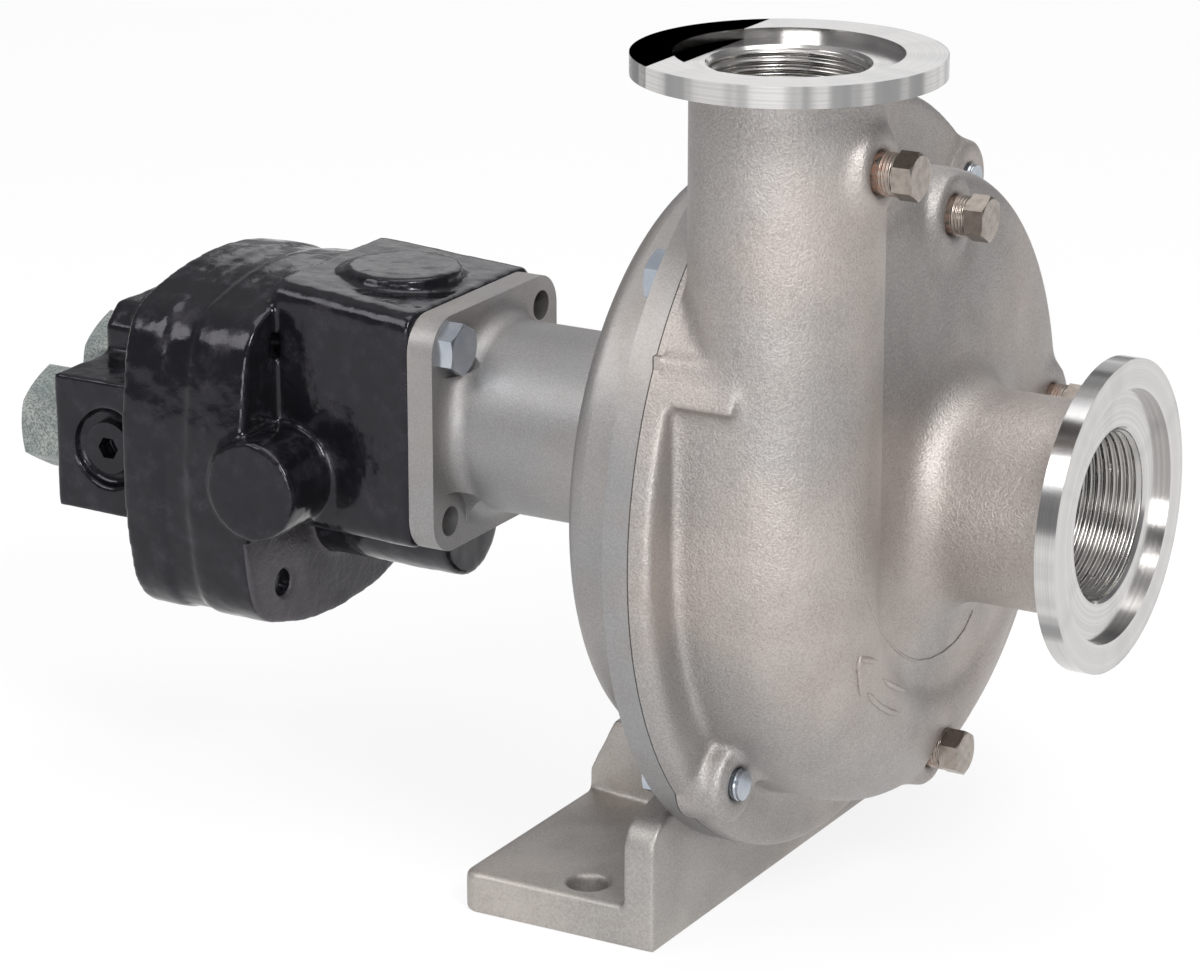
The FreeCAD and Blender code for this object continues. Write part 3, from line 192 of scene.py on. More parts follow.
class Placed:
    """A node in a graph, whose outputs are read by name."""

    def __init__(self, graph: "Graph", node: bpy.types.Node) -> None:
        """Wrap a node."""
        self.graph = graph
        self.node = node

    def __getitem__(self, output: Union[str, int]) -> Signal:
        """An output of the node."""
        return Signal(self.graph, self.node.outputs[output])


@dataclass
class Place:
    """Where a point lies on the object, as signals in metres.

    The radii and angles are taken about the shaft and about the discharge pipe.
    """

    vector: Signal
    x: Signal
    y: Signal
    z: Signal
    shaft_radius: Signal
    shaft_angle: Signal
    pipe_radius: Signal
    pipe_angle: Signal


class Graph:
    """The nodes of a material or of the world, under construction."""

    def __init__(self, owner: Union[bpy.types.Material, bpy.types.World]) -> None:
        """Start with no nodes.

        Args:
            owner: The material or the world.
        """
        owner.use_nodes = True
        self.owner = owner
        self.tree = owner.node_tree
        self.tree.nodes.clear()

    def add(self, kind: str, settings: dict | None = None, inputs: dict | None = None) -> Placed:
        """Add any node.

        Args:
            kind: The node's type.
            settings: Its properties, set first; "stops" gives a ramp's stops.
            inputs: Values or signals for its sockets, by name or place.

        Returns:
            The node.
        """
        node = self.tree.nodes.new(kind)
        for name, value in (settings or {}).items():
            if name == "stops":
                self._set_stops(node, value)
            else:
                setattr(node, name, value)
        for key, value in (inputs or {}).items():
            socket = node.inputs[key]
            if isinstance(value, Signal):
                self.tree.links.new(value.socket, socket)
            else:
                socket.default_value = value
        return Placed(self, node)

    @staticmethod
    def _set_stops(node: bpy.types.Node, stops: Sequence[tuple[float, tuple]]) -> None:
        """Set the stops of a colour ramp.

        Args:
            node: The ramp.
            stops: Each stop's place and colour.
        """
        elements = node.color_ramp.elements
        while len(elements) < len(stops):
            elements.new(0.5)
        for element, (place, colour) in zip(elements, stops):
            element.position = place
            element.color = colour

    def place(self) -> Place:
        """Where the shaded point lies on the object at rest.

        Returns:
            Its place about the shaft and about the discharge pipe.
        """
        vector = self.add("ShaderNodeTexCoord")["Object"]
        split = self.add("ShaderNodeSeparateXYZ", inputs={"Vector": vector})
        x, y, z = split["X"], split["Y"], split["Z"]
        rise = z - SHAFT_HEIGHT
        across, beside = x - PIPE_X, y - PIPE_Y
        shaft_radius = (y * y + rise * rise).root()
        pipe_radius = (across * across + beside * beside).root()
        return Place(vector, x, y, z, shaft_radius, rise.angle_with(y), pipe_radius,
                     beside.angle_with(across))

    def noise(self, vector: Signal, scale: float, detail: float = 2.0, rough: float = 0.5,
              stretch: tuple[float, float, float] = (1, 1, 1)) -> Signal:
        """Fractal noise.

        Args:
            vector: Where it is read.
            scale: Its frequency per metre.
            detail: Its octaves.
            rough: How strong the finer octaves are.
            stretch: Scale along each axis.

        Returns:
            The noise, about 0.5 on average.
        """
        if stretch != (1, 1, 1):
            vector = self.add("ShaderNodeVectorMath", {"operation": "MULTIPLY"},
                              {0: vector, 1: stretch})["Vector"]
        inputs = {"Vector": vector, "Scale": scale, "Detail": detail, "Roughness": rough}
        return self.add("ShaderNodeTexNoise", inputs=inputs)[0]

    def point(self, x: Value, y: Value, z: Value) -> Signal:
        """A vector from three values."""
        return self.add("ShaderNodeCombineXYZ", inputs={"X": x, "Y": y, "Z": z})["Vector"]

    def mix(self, share: Value, first: Union[tuple, Signal], second: Union[tuple, Signal]) -> Signal:
        """Mix two colours.

        Args:
            share: How much of the second.
            first: The first colour.
            second: The second colour.

        Returns:
            The mixed colour.
        """
        one, two = ((*end[:3], 1.0) if isinstance(end, tuple) else end for end in (first, second))
        settings = {"data_type": "RGBA", "clamp_factor": True}
        return self.add("ShaderNodeMix", settings, {0: share, 6: one, 7: two})[2]

    def bump(self, height: Signal, depth: float, strength: float = 1.0) -> Signal:
        """Turn a height into a normal.

        Args:
            height: Height, from 0 to 1.
            depth: What a height of 1 measures, in metres.
            strength: How much of it shows.

        Returns:
            The bent normal.
        """
        inputs = {"Height": height, "Distance": depth, "Strength": strength}
        return self.add("ShaderNodeBump", inputs=inputs)["Normal"]

    def finish(self, inputs: dict) -> bpy.types.Material:
        """Close the material with a Principled shader.

        Args:
            inputs: Values or signals for the shader's sockets.

        Returns:
            The material.
        """
        shader = self.add("ShaderNodeBsdfPrincipled", inputs=inputs)
        self.add("ShaderNodeOutputMaterial", inputs={"Surface": shader["BSDF"]})
        return self.owner


def rgb(red: float, green: float, blue: float) -> tuple[float, float, float]:
    """A linear colour from screen values of 0 to 255."""
    return tuple(((c / 255 + 0.055) / 1.055) ** 2.4 if c > 10 else c / 255 / 12.92
                 for c in (red, green, blue))


# Finishes

# Tells where a casting is machined bright
TurnedZone = Callable[[Place], Signal]


@dataclass(frozen=True)
class CastSteel:
    """Bead-blasted cast stainless steel with the machined zones left bright, under bands of painted sheen."""

    name: str = "cast_steel"
    warm: tuple[float, float, float] = rgb(176, 168, 163)
    cool: tuple[float, float, float] = rgb(156, 153, 151)
    # bright is the turned faces' own colour and the light end of their painted sheen; dark is the painted
    # dark reflection at the other end
    bright: tuple[float, float, float] = rgb(208, 206, 204)
    dark: tuple[float, float, float] = rgb(82, 84, 88)
    grain: float = 0.00042
    speck: float = 1.0
    seam: tuple[float, float] | None = None
    discharge_rim: float = 0.0394
    suction_rim: float = 0.0417
    zones: tuple[TurnedZone, ...] = ()

    def build(self) -> bpy.types.Material:
        """Make the material.

        Returns:
            The material.
        """
        graph = Graph(bpy.data.materials.new(self.name))
        place = graph.place()
        cloud = graph.noise(place.vector, 14.0, 3.0)
        patch = graph.noise(place.vector, 60.0, 3.0, 0.6)
        grain = graph.noise(place.vector, 1700.0, 2.0, 0.6)
        peel = graph.noise(place.vector, 420.0, 2.0, 0.5)
        base = graph.mix(cloud.ramp(0.38, 0.62), self.warm, self.cool)
        base = graph.mix(patch.ramp(0.35, 0.7, 0.0, 0.22), base, rgb(138, 129, 122))
        base = graph.mix(grain.ramp(0.45, 0.62, 0.0, 0.3 * self.speck), base, rgb(214, 207, 203))
        base = graph.mix(grain.ramp(0.3, 0.46, 0.3 * self.speck, 0.0), base, rgb(102, 96, 92))
        if self.seam is not None:
            base = graph.mix(place.x.between(*self.seam) * 0.85, base, rgb(40, 37, 35))
        roughness = 0.44 + patch * 0.14
        height = grain * 0.6 + peel * 0.5
        metallic: Value = 0.86
        if self.zones:
            zone = self.zones[0](place)
            for other in self.zones[1:]:
                zone = zone | other(place)
            # turned faces: their own bright colour, with painted sheen and painted dark reflections
            turned = self._turned(graph, place)
            base = graph.mix(zone, base, turned)
            roughness = roughness * (1 - zone) + zone * 0.17
            height = height * (1 - zone)
            metallic = 0.86 + zone * 0.14
        return graph.finish({"Base Color": base, "Roughness": roughness, "Metallic": metallic,
                             "Normal": graph.bump(height, self.grain, 0.8)})

    def _turned(self, graph: Graph, place: Place) -> Signal:
        """Colour of a turned face: fine rings, and light and dark bands of painted sheen about its axis, with
        painted dark reflections on the flange rims.

        Args:
            graph: The material's nodes.
            place: Where the point lies.

        Returns:
            The colour.
        """
        on_pipe = place.z > PIPE_LEVEL
        radius = place.shaft_radius * (1 - on_pipe) + place.pipe_radius * on_pipe
        along = place.x * (1 - on_pipe) + place.z * on_pipe
        rings = graph.noise(graph.point(radius, along, 0.0), 2200.0, 1.0)
        around = place.shaft_angle * 2.0
        other = place.pipe_angle * 2.0
        # painted sheen: light and dark bands around the shaft, standing in for the reflections on a turned
        # face
        painted_sheen_shaft = graph.noise(graph.point(around.sine(), (around + QUARTER_TURN).sine(), 0.3), 1.7, 2.0)
        # the same painted sheen around the discharge pipe
        painted_sheen_pipe = graph.noise(graph.point(other.sine(), (other + QUARTER_TURN).sine(), 0.8), 2.1, 2.0)
        painted_sheen = painted_sheen_shaft * (1 - on_pipe) + painted_sheen_pipe * on_pipe
        on_rim = (place.pipe_radius * on_pipe) > self.discharge_rim
        rim = on_rim | ((place.shaft_radius * (1 - on_pipe)) > self.suction_rim)
        # on the flange rims the dark bands of the painted sheen go darker still, a painted dark reflection
        colour = graph.mix(painted_sheen.ramp(0.25, 0.6, 0.84, 1.0) - rim * painted_sheen.ramp(0.4, 0.6, 0.5, 0.0),
                           self.dark, self.bright)
        return graph.mix(rings.ramp(0.35, 0.65, 0.0, 0.22), colour, rgb(150, 150, 150))


@dataclass(frozen=True)
class TurnedSteel:
    """Bright turned or ground steel with fine tool marks along one direction."""

    name: str
    colour: tuple[float, float, float] = rgb(198, 197, 196)
    shade: tuple[float, float, float] = rgb(142, 142, 144)
    roughness: float = 0.26
    marks: tuple[float, float, float] = (1600.0, 60.0, 60.0)

    def build(self) -> bpy.types.Material:
        """Make the material.

        Returns:
            The material.
        """
        graph = Graph(bpy.data.materials.new(self.name))
        place = graph.place()
        marks = graph.noise(place.vector, 1.0, 2.0, 0.6, self.marks)
        cloud = graph.noise(place.vector, 90.0, 3.0)
        base = graph.mix(marks.ramp(0.3, 0.7), self.shade, self.colour)
        base = graph.mix(cloud.ramp(0.4, 0.75, 0.0, 0.25), base, self.shade)
        return graph.finish({"Base Color": base, "Metallic": 1.0,
                             "Roughness": self.roughness + cloud * 0.12,
                             "Normal": graph.bump(marks, 0.00004, 0.6)})


@dataclass(frozen=True)
class ZincPlate:
    """Bluish zinc plate with a cloudy bloom."""

    name: str = "zinc_plate"
    colour: tuple[float, float, float] = rgb(164, 171, 181)
    bloom: tuple[float, float, float] = rgb(198, 201, 204)
    speckle: float = 0.0
    roughness: float = 0.16

    def build(self) -> bpy.types.Material:
        """Make the material.

        Returns:
            The material.
        """
        graph = Graph(bpy.data.materials.new(self.name))
        place = graph.place()
        cloud = graph.noise(place.vector, 160.0, 3.0, 0.5)
        fleck = graph.noise(place.vector, 1500.0, 3.0, 0.7)
        base = graph.mix(cloud.ramp(0.3, 0.75, 0.0, 0.6), self.colour, self.bloom)
        if self.speckle:
            base = graph.mix(fleck.ramp(0.42, 0.6, 0.0, self.speckle), base, rgb(96, 104, 104))
        height = cloud * 0.5 + fleck * 0.5
        return graph.finish({"Base Color": base, "Metallic": 0.92,
                             "Roughness": self.roughness + fleck * (0.1 + self.speckle * 0.5),
                             "Normal": graph.bump(height, 0.00005, 0.5 + self.speckle)})


@dataclass(frozen=True)
class PlugSteel:
    """Tarnished plug steel, with rust where its thread enters the casting."""

    name: str = "plug_steel"
    colour: tuple[float, float, float] = rgb(172, 163, 155)
    tarnish: tuple[float, float, float] = rgb(104, 94, 86)
    rust: tuple[float, float, float] = rgb(122, 74, 48)

    def build(self) -> bpy.types.Material:
        """Make the material.

        Returns:
            The material.
        """
        graph = Graph(bpy.data.materials.new(self.name))
        place = graph.place()
        cloud = graph.noise(place.vector, 420.0, 4.0, 0.6)
        spots = graph.noise(place.vector, 700.0, 3.0, 0.7)
        base = graph.mix(cloud.ramp(0.35, 0.75, 0.1, 0.5), self.colour, self.tarnish)
        high = place.z > PIPE_LEVEL
        foot = (place.x - (0.0705 + high * 0.014)).ramp(0.0, 0.005, 1.0, 0.0)
        stain = foot * spots.ramp(0.4, 0.62)
        base = graph.mix(stain * 0.8, base, self.rust)
        return graph.finish({"Base Color": base, "Metallic": 1.0 - stain * 0.7,
                             "Roughness": 0.22 + cloud * 0.16 + stain * 0.3,
                             "Normal": graph.bump(cloud, 0.00006, 0.6)})


@dataclass(frozen=True)
class BlackPaint:
    """Thick glossy black paint over a rough casting."""

    name: str = "black_paint"
    colour: tuple[float, float, float] = rgb(15, 15, 18)
    dust: tuple[float, float, float] = rgb(44, 42, 47)
    lumps: float = 0.0007

    def build(self) -> bpy.types.Material:
        """Make the material.

        Returns:
            The material.
        """
        graph = Graph(bpy.data.materials.new(self.name))
        place = graph.place()
        lump = graph.noise(place.vector, 70.0, 2.0, 0.5)
        ripple = graph.noise(place.vector, 300.0, 3.0, 0.6)
        scuff = graph.noise(place.vector, 120.0, 4.0, 0.7)
        # a rougher band on the front disc's front edge below 82 mm: rough cast texture, and its lighter grey
        # a painted highlight along the edge
        cast = place.x.between(-0.1222, -0.1198) & (place.z < 0.082)
        coarse = graph.noise(place.vector, 520.0, 3.0, 0.7)
        base = graph.mix(scuff.ramp(0.45, 0.75, 0.0, 0.6), self.colour, self.dust)
        # the band painted lighter grey, a painted highlight
        base = graph.mix(cast * 0.75, base, rgb(74, 71, 74))
        roughness = 0.14 + scuff.ramp(0.4, 0.8, 0.0, 0.22) + cast * 0.3
        height = lump * 0.8 + ripple * 0.3 + cast * coarse * 1.6
        return graph.finish({"Base Color": base, "Metallic": 0.0, "Roughness": roughness,
                             "Specular IOR Level": 0.3, "Specular Tint": (0.94, 0.9, 1.0, 1.0),
                             "Coat Weight": 0.12, "Coat Roughness": 0.05,
                             "Normal": graph.bump(height, self.lumps, 0.55)})


@dataclass(frozen=True)
class Moulded:
    """A plain dense material, such as rubber, carbon or ceramic, with a fine surface."""

    name: str
    colour: tuple[float, float, float]
    roughness: float = 0.6
    metallic: float = 0.0
    grain: float = 500.0

    def build(self) -> bpy.types.Material:
        """Make the material.

        Returns:
            The material.
        """
        graph = Graph(bpy.data.materials.new(self.name))
        place = graph.place()
        cloud = graph.noise(place.vector, 90.0, 3.0)
        grain = graph.noise(place.vector, self.grain, 3.0, 0.6)
        lighter = tuple(min(1.0, c * 1.5 + 0.01) for c in self.colour)
        base = graph.mix(cloud.ramp(0.35, 0.65, 0.0, 0.6), self.colour, lighter)
        return graph.finish({"Base Color": base, "Metallic": self.metallic,
                             "Roughness": self.roughness + grain * 0.1,
                             "Normal": graph.bump(grain, 0.00006, 0.5)})


class Finishes:
    """The materials of the pump, each made once."""

    def __init__(self) -> None:
        """Make them all."""
        machined = (lambda p: p.x > 0.11728,  # suction flange
                    lambda p: p.z > 0.24048,  # discharge flange
                    lambda p: (p.x > 0.09) & (p.shaft_radius < 0.0245),  # suction bore
                    lambda p: (p.z > PIPE_LEVEL) & (p.pipe_radius < 0.0216),  # discharge bore
                    lambda p: (p.x < 0.0333) & (p.shaft_radius < 0.1035))  # joint face
        self.casing = CastSteel("casing_steel", speck=0.6, seam=(0.0331, 0.03355),
                                zones=machined).build()
        self.plate = CastSteel("plate_steel", warm=rgb(160, 156, 153), cool=rgb(146, 146, 147),
                               grain=0.00012, speck=0.3).build()
        self.foot = CastSteel("foot_steel", warm=rgb(178, 172, 167), cool=rgb(160, 157, 154),
                              grain=0.0002, speck=0.5).build()
        self.turned = TurnedSteel("turned_steel").build()
        self.ground = TurnedSteel("ground_steel", roughness=0.18).build()
        self.thread = TurnedSteel("thread_steel", colour=rgb(190, 188, 184), shade=rgb(158, 156, 153),
                                  roughness=0.22, marks=(90.0, 90.0, 90.0)).build()
        self.zinc = ZincPlate().build()
        self.speckled = ZincPlate("speckled_zinc", rgb(150, 158, 156), rgb(206, 206, 200),
                                  0.7, 0.36).build()
        self.plug = PlugSteel().build()
        self.paint = BlackPaint().build()
        self.rubber = Moulded("black_rubber", rgb(30, 30, 31)).build()
        self.carbon = Moulded("seal_carbon", rgb(52, 52, 54), 0.35).build()
        self.ceramic = Moulded("seal_ceramic", rgb(226, 222, 212), 0.3).build()
        self.bronze = Moulded("bush_bronze", rgb(176, 138, 82), 0.3, 1.0).build()


# Mesh helpers

def new_piece(name: str, points: Sequence[Vector], faces: Sequence[Sequence[int]],
              material: bpy.types.Material, smooth: bool = True) -> bpy.types.Object:
    """Make a mesh object from points and faces.

    Args:
        name: The piece's name.
        points: Its points, in the part's frame.
        faces: Its faces, as places in the list of points.
        material: Its finish.
        smooth: Whether its faces are shaded smooth.

    Returns:
        The object, linked to the scene.
    """
    mesh = bpy.data.meshes.new(name)
    mesh.from_pydata([tuple(p) for p in points], [], [tuple(f) for f in faces])
    mesh.materials.append(material)
    for polygon in mesh.polygons:
        polygon.use_smooth = smooth
    mesh.validate()
    mesh.update()
    piece = bpy.data.objects.new(name, mesh)
    bpy.context.scene.collection.objects.link(piece)
    return piece


def grid_faces(rows: int, columns: int, closed: bool) -> list[tuple[int, int, int, int]]:
    """Quads of a grid of points stored row by row.

    Args:
        rows: How many rows.
        columns: How many columns.
        closed: Whether the last column joins the first.

    Returns:
        The quads.
    """
    faces = []
    for i in range(rows - 1):
        for j in range(columns if closed else columns - 1):
            k = (j + 1) % columns
            low, high = i * columns, (i + 1) * columns
            faces.append((low + j, low + k, high + k, high + j))
    return faces


def near(values: np.ndarray, centre: float, width: float, reach: float = 1.0) -> np.ndarray:
    """How near values are to a centre.

    Args:
        values: The values.
        centre: The centre.
        width: The distance over which the result falls by 1.
        reach: The result at the centre, before it is held at 1.

    Returns:
        From 1 at the centre to 0 away from it.
    """
    return np.clip(reach - np.abs(values - centre) / width, 0.0, 1.0)


def neighbour_sums(points: np.ndarray, first: np.ndarray, second: np.ndarray) -> np.ndarray:
    """Add up the neighbours of each point of a mesh.

    Args:
        points: The points, one to a row.
        first: Where each edge begins, as places among the points.
        second: Where each edge ends.

    Returns:
        The sums, one to a row.
    """
    count = len(points)
    return np.stack([np.bincount(first, points[second, k], count) +
                     np.bincount(second, points[first, k], count) for k in range(3)], axis=1)


@dataclass
class Thread:
    """A helical thread on the wall of a bore or a stud."""

    name: str
    axis: Axis
    start: Vector
    length: float
    radius: float
    pitch: float
    depth: float
    winding: Winding
    body: str = "pump"
    slot: str = "machined"
    around: int = 72
    per_pitch: int = 8
    runout: float = 0.6

    def build(self, material: bpy.types.Material) -> bpy.types.Object:
        """Make the thread as one continuous helical surface.

        Args:
            material: Its finish.

        Returns:
            The piece.
        """
        rows = max(3, int(self.length / self.pitch * self.per_pitch) + 1)
        points = []
        for i in range(rows):
            along = self.length * i / (rows - 1)
            edge = min(along, self.length - along) / (self.pitch * self.runout)
            for j in range(self.around):
                turn = j / self.around
                phase = (along / self.pitch - turn) % 1.0
                crest = max(0.0, 1.0 - abs(phase - 0.5) * 2.1) * min(1.0, edge)
                radius = self.radius + self.winding.value * (0.00005 + self.depth * min(crest, 0.85))
                points.append(self.axis.spot(self.start, along, radius, 2 * math.pi * turn))
        piece = new_piece(self.name, points, grid_faces(rows, self.around, True), material)
        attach(piece, self.body)
        LOG.info("%s: %d rows", self.name, rows)
        return piece


@dataclass(frozen=True)
class PhotoView:
    """Where the photograph was taken from, and its lens."""

    place: tuple[float, float, float] = (0.5525, -1.0265, 0.4805)
    azimuth: float = 29.74
    elevation: float = 17.85
    focal_pixels: float = 4441.0
    width: float = 1200.0
    height: float = 973.0

    @property
    def back(self) -> Vector:
        """The direction from the pump to the camera.

        Returns:
            A unit vector.
        """
        turn, tilt = math.radians(self.azimuth), math.radians(self.elevation)
        level = math.cos(tilt)
        return Vector((math.sin(turn) * level, -math.cos(turn) * level, math.sin(tilt)))

    def ray(self, across: float, down: float) -> Vector:
        """The direction in which a pixel of the photograph looks.

        Args:
            across: Pixels from the left.
            down: Pixels from the top.

        Returns:
            A unit vector.
        """
        turn = math.radians(self.azimuth)
        right = Vector((math.cos(turn), math.sin(turn), 0.0))
        above = self.back.cross(right)
        sideways = right * (across - self.width / 2) - above * (down - self.height / 2)
        return (sideways - self.back * self.focal_pixels).normalized()


@dataclass
class RaisedLine:
    """A thin ridge cast on a surface, such as the side of an arrow."""

    name: str
    path: Sequence[tuple[float, float]]
    radius: float = 0.0009
    around: int = 10
    step: float = 2.5
    view: PhotoView = PhotoView()

    def build(self, skin: bpy.types.Mesh, material: bpy.types.Material) -> bpy.types.Object | None:
        """Lay the ridge on the front of a skin.

        Args:
            skin: The mesh that it lies on.
            material: Its finish.

        Returns:
            The piece.
        """
        vertices = [v.co.copy() for v in skin.vertices]
        tree = BVHTree.FromPolygons(vertices, [tuple(p.vertices) for p in skin.polygons])
        spine = []
        for across, down in self._fine():
            hit = tree.ray_cast(Vector(self.view.place), self.view.ray(across, down))[0]
            if hit is not None:
                spine.append(hit)
        points = []
        for i, centre in enumerate(spine):
            ahead = spine[min(i + 1, len(spine) - 1)] - spine[max(i - 1, 0)]
            side = ahead.cross(Vector((1, 0, 0))).normalized()
            up = side.cross(ahead).normalized()
            edge = min(i, len(spine) - 1 - i)
            radius = self.radius * min(1.0, 0.25 + edge * 0.4)
            for j in range(self.around):
                turn = 2 * math.pi * j / self.around
                points.append(centre + (side * math.cos(turn) + up * math.sin(turn) * 0.8) * radius)
        piece = new_piece(self.name, points, grid_faces(len(spine), self.around, True), material)
        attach(piece, "pump")
        LOG.info("%s: %d points along", self.name, len(spine))
        return piece

    def _fine(self) -> list[tuple[float, float]]:
        """The path with a point at least every step.

        Returns:
            Its points, in photo pixels.
        """
        fine = [self.path[0]]
        for (x0, y0), (x1, y1) in zip(self.path, self.path[1:]):
            steps = max(1, int(math.hypot(x1 - x0, y1 - y0) / self.step))
            fine += [(x0 + (x1 - x0) * i / steps, y0 + (y1 - y0) * i / steps)
                     for i in range(1, steps + 1)]
        return fine


@dataclass(frozen=True)
class Half:
    """Everything on one side of a plane across an axis."""

    axis: int
    level: float
    above: bool = True

    def cut(self, mesh: bpy.types.Mesh, keep: bool) -> None:
        """Cut a mesh along the plane.

        Args:
            mesh: The mesh, which is changed.
            keep: Whether this half stays, or the other.
        """
        normal = Vector((0, 0, 0))
        normal[self.axis] = 1.0 if self.above else -1.0
        point = Vector((0, 0, 0))
        point[self.axis] = self.level
        work = bmesh.new()
        work.from_mesh(mesh)
        bmesh.ops.bisect_plane(work, geom=work.verts[:] + work.edges[:] + work.faces[:], dist=1e-7,
                               plane_co=point, plane_no=normal, clear_inner=keep, clear_outer=not keep)
        work.to_mesh(mesh)
        work.free()


@dataclass
class CastSkin:
    """A casting's surface with the soft corners and fillets that a poured part has.

    The CAD nodes are remade on a fine grid and relaxed. What is machined is left out of the
    grid and taken from the CAD as it is.
    """

    name: str
    nodes: tuple[str, ...]
    voxel: float
    rounds: int
    machined: tuple[Half, ...] = ()
    sharp: Callable[[np.ndarray], np.ndarray] | None = None
    soft: Callable[[np.ndarray], np.ndarray] | None = None
    soft_share: int = 5
    lump: float = 0.0
    lump_scale: float = 110.0
    slot: str = "casing"

    def build(self, material: bpy.types.Material) -> bpy.types.Object:
        """Make the skin in place of its nodes.

        Args:
            material: Its finish.

        Returns:
            The piece.
        """
        source = self._joined()
        voxel = self.voxel * 1.0
        skin = self._remade(source, voxel)
        for half in self.machined:
            half.cut(skin, keep=False)
        self._relax(skin, max(2, int(self.rounds * (self.voxel / voxel) ** 2)))
        for half in self.machined:
            self._append_machined(skin, source, half)
        skin.materials.clear()
        skin.materials.append(material)
        skin.shade_smooth()
        skin.set_sharp_from_angle(angle=SHARP_ANGLE)
        piece = bpy.data.objects.new(self.name, skin)
        bpy.context.scene.collection.objects.link(piece)
        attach(piece, "pump")
        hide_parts(*self.nodes)
        LOG.info("%s: %d faces", self.name, len(skin.polygons))
        return piece

    def _joined(self) -> bpy.types.Mesh:
        """The nodes' meshes as one, in metres.

        Returns:
            A new mesh.
        """
        work = bmesh.new()
        for name in self.nodes:
            node = frame["nodes"][name]
            copy = node.data.copy()
            copy.transform(node.matrix_world)
            work.from_mesh(copy)
            bpy.data.meshes.remove(copy)
        mesh = bpy.data.meshes.new(self.name + "_source")
        work.to_mesh(mesh)
        work.free()
        return mesh

    def _remade(self, source: bpy.types.Mesh, voxel: float) -> bpy.types.Mesh:
        """The source remade on a grid.

        Args:
            source: The nodes' meshes as one.
            voxel: The grid's step.

        Returns:
            A new mesh.
        """
        helper = bpy.data.objects.new(self.name + "_helper", source)
        bpy.context.scene.collection.objects.link(helper)
        grid = helper.modifiers.new("grid", "REMESH")
        grid.mode = "VOXEL"
        grid.voxel_size = voxel
        view = bpy.context.evaluated_depsgraph_get()
        mesh = bpy.data.meshes.new_from_object(helper.evaluated_get(view))
        bpy.data.objects.remove(helper)
        return mesh

    def _relax(self, mesh: bpy.types.Mesh, rounds: int) -> None:
        """Round the corners, then raise the lumps.

        Args:
            mesh: The mesh, which is changed.
            rounds: How often each point moves towards its neighbours.
        """
        count = len(mesh.vertices)
        flat = np.empty(count * 3)
        mesh.vertices.foreach_get("co", flat)
        points = flat.reshape(-1, 3)
        ends = np.empty(len(mesh.edges) * 2, dtype=np.int64)
        mesh.edges.foreach_get("vertices", ends)
        first, second = ends.reshape(-1, 2).T
        degree = np.maximum(np.bincount(ends, minlength=count), 1)[:, None]
        weight = np.full((count, 1), 0.5)
        for half in self.machined:
            weight[np.abs(points[:, half.axis] - half.level) < ON_PLANE] = 0.0
        for i in range(rounds):
            if self.sharp is not None and i == min(2, rounds - 1):
                weight = weight * (1.0 - self.sharp(points)[:, None])
            total = neighbour_sums(points, first, second)
            points = points + (total / degree - points) * weight
        if self.soft is not None:
            self._soften(points, weight * self.soft(points)[:, None], degree, (first, second), rounds)
        mesh.vertices.foreach_set("co", points.ravel())
        mesh.update()
        if self.lump:
            self._raise_lumps(mesh, points)

    def _soften(self, points: np.ndarray, weight: np.ndarray, degree: np.ndarray,
                edges: tuple[np.ndarray, np.ndarray], rounds: int) -> None:
        """Go on rounding where the casting is softest.

        Args:
            points: The points, which are moved.
            weight: How far each one moves.
            degree: How many neighbours each one has.
            edges: Where the edges begin, and where they end.
            rounds: How often the rest of the skin was rounded.
        """
        first, second = edges
        flowing = np.flatnonzero((weight[first, 0] > 0) | (weight[second, 0] > 0))
        first, second = first[flowing], second[flowing]
        moved = np.unique(np.concatenate([first, second]))
        for _ in range(rounds * self.soft_share):
            total = neighbour_sums(points, first, second)
            points[moved] += (total[moved] / degree[moved] - points[moved]) * weight[moved]

    def _raise_lumps(self, mesh: bpy.types.Mesh, points: np.ndarray) -> None:
        """Raise the low lumps of thick paint on a casting.

        Args:
            mesh: The mesh, which is changed.
            points: Its points.
        """
        normals = np.empty(len(points) * 3)
        mesh.vertices.foreach_get("normal", normals)
        heights = [noise.fractal(Vector(p) * self.lump_scale, 1.0, 2.0, 3) for p in points]
        raised = points + normals.reshape(-1, 3) * (np.array(heights)[:, None] * self.lump)
        mesh.vertices.foreach_set("co", raised.ravel())
        mesh.update()

    def _append_machined(self, skin: bpy.types.Mesh, source: bpy.types.Mesh, half: Half) -> None:
        """Add the part of the CAD that lies in a machined half.

        Args:
            skin: The skin, which is changed.
            source: The nodes' meshes as one.
            half: The machined half.
        """
        part = source.copy()
        half.cut(part, keep=True)
        work = bmesh.new()
        work.from_mesh(skin)
        work.from_mesh(part)
        work.to_mesh(skin)
        work.free()
        bpy.data.meshes.remove(part)


# Sub-assemblies

@dataclass
class Dresser:
    """Gives CAD nodes their finishes."""

    nodes: dict[str, bpy.types.Object]

    def dress(self, finish: bpy.types.Material, *names: str) -> None:
        """Give nodes a finish.

        Args:
            finish: The material.
            names: The nodes.
        """
        for name in names:
            data = self.nodes[name].data
            data.materials.clear()
            data.materials.append(finish)
            for polygon in data.polygons:
                polygon.material_index = 0
            LOG.info("%s wears %s", name, finish.name)


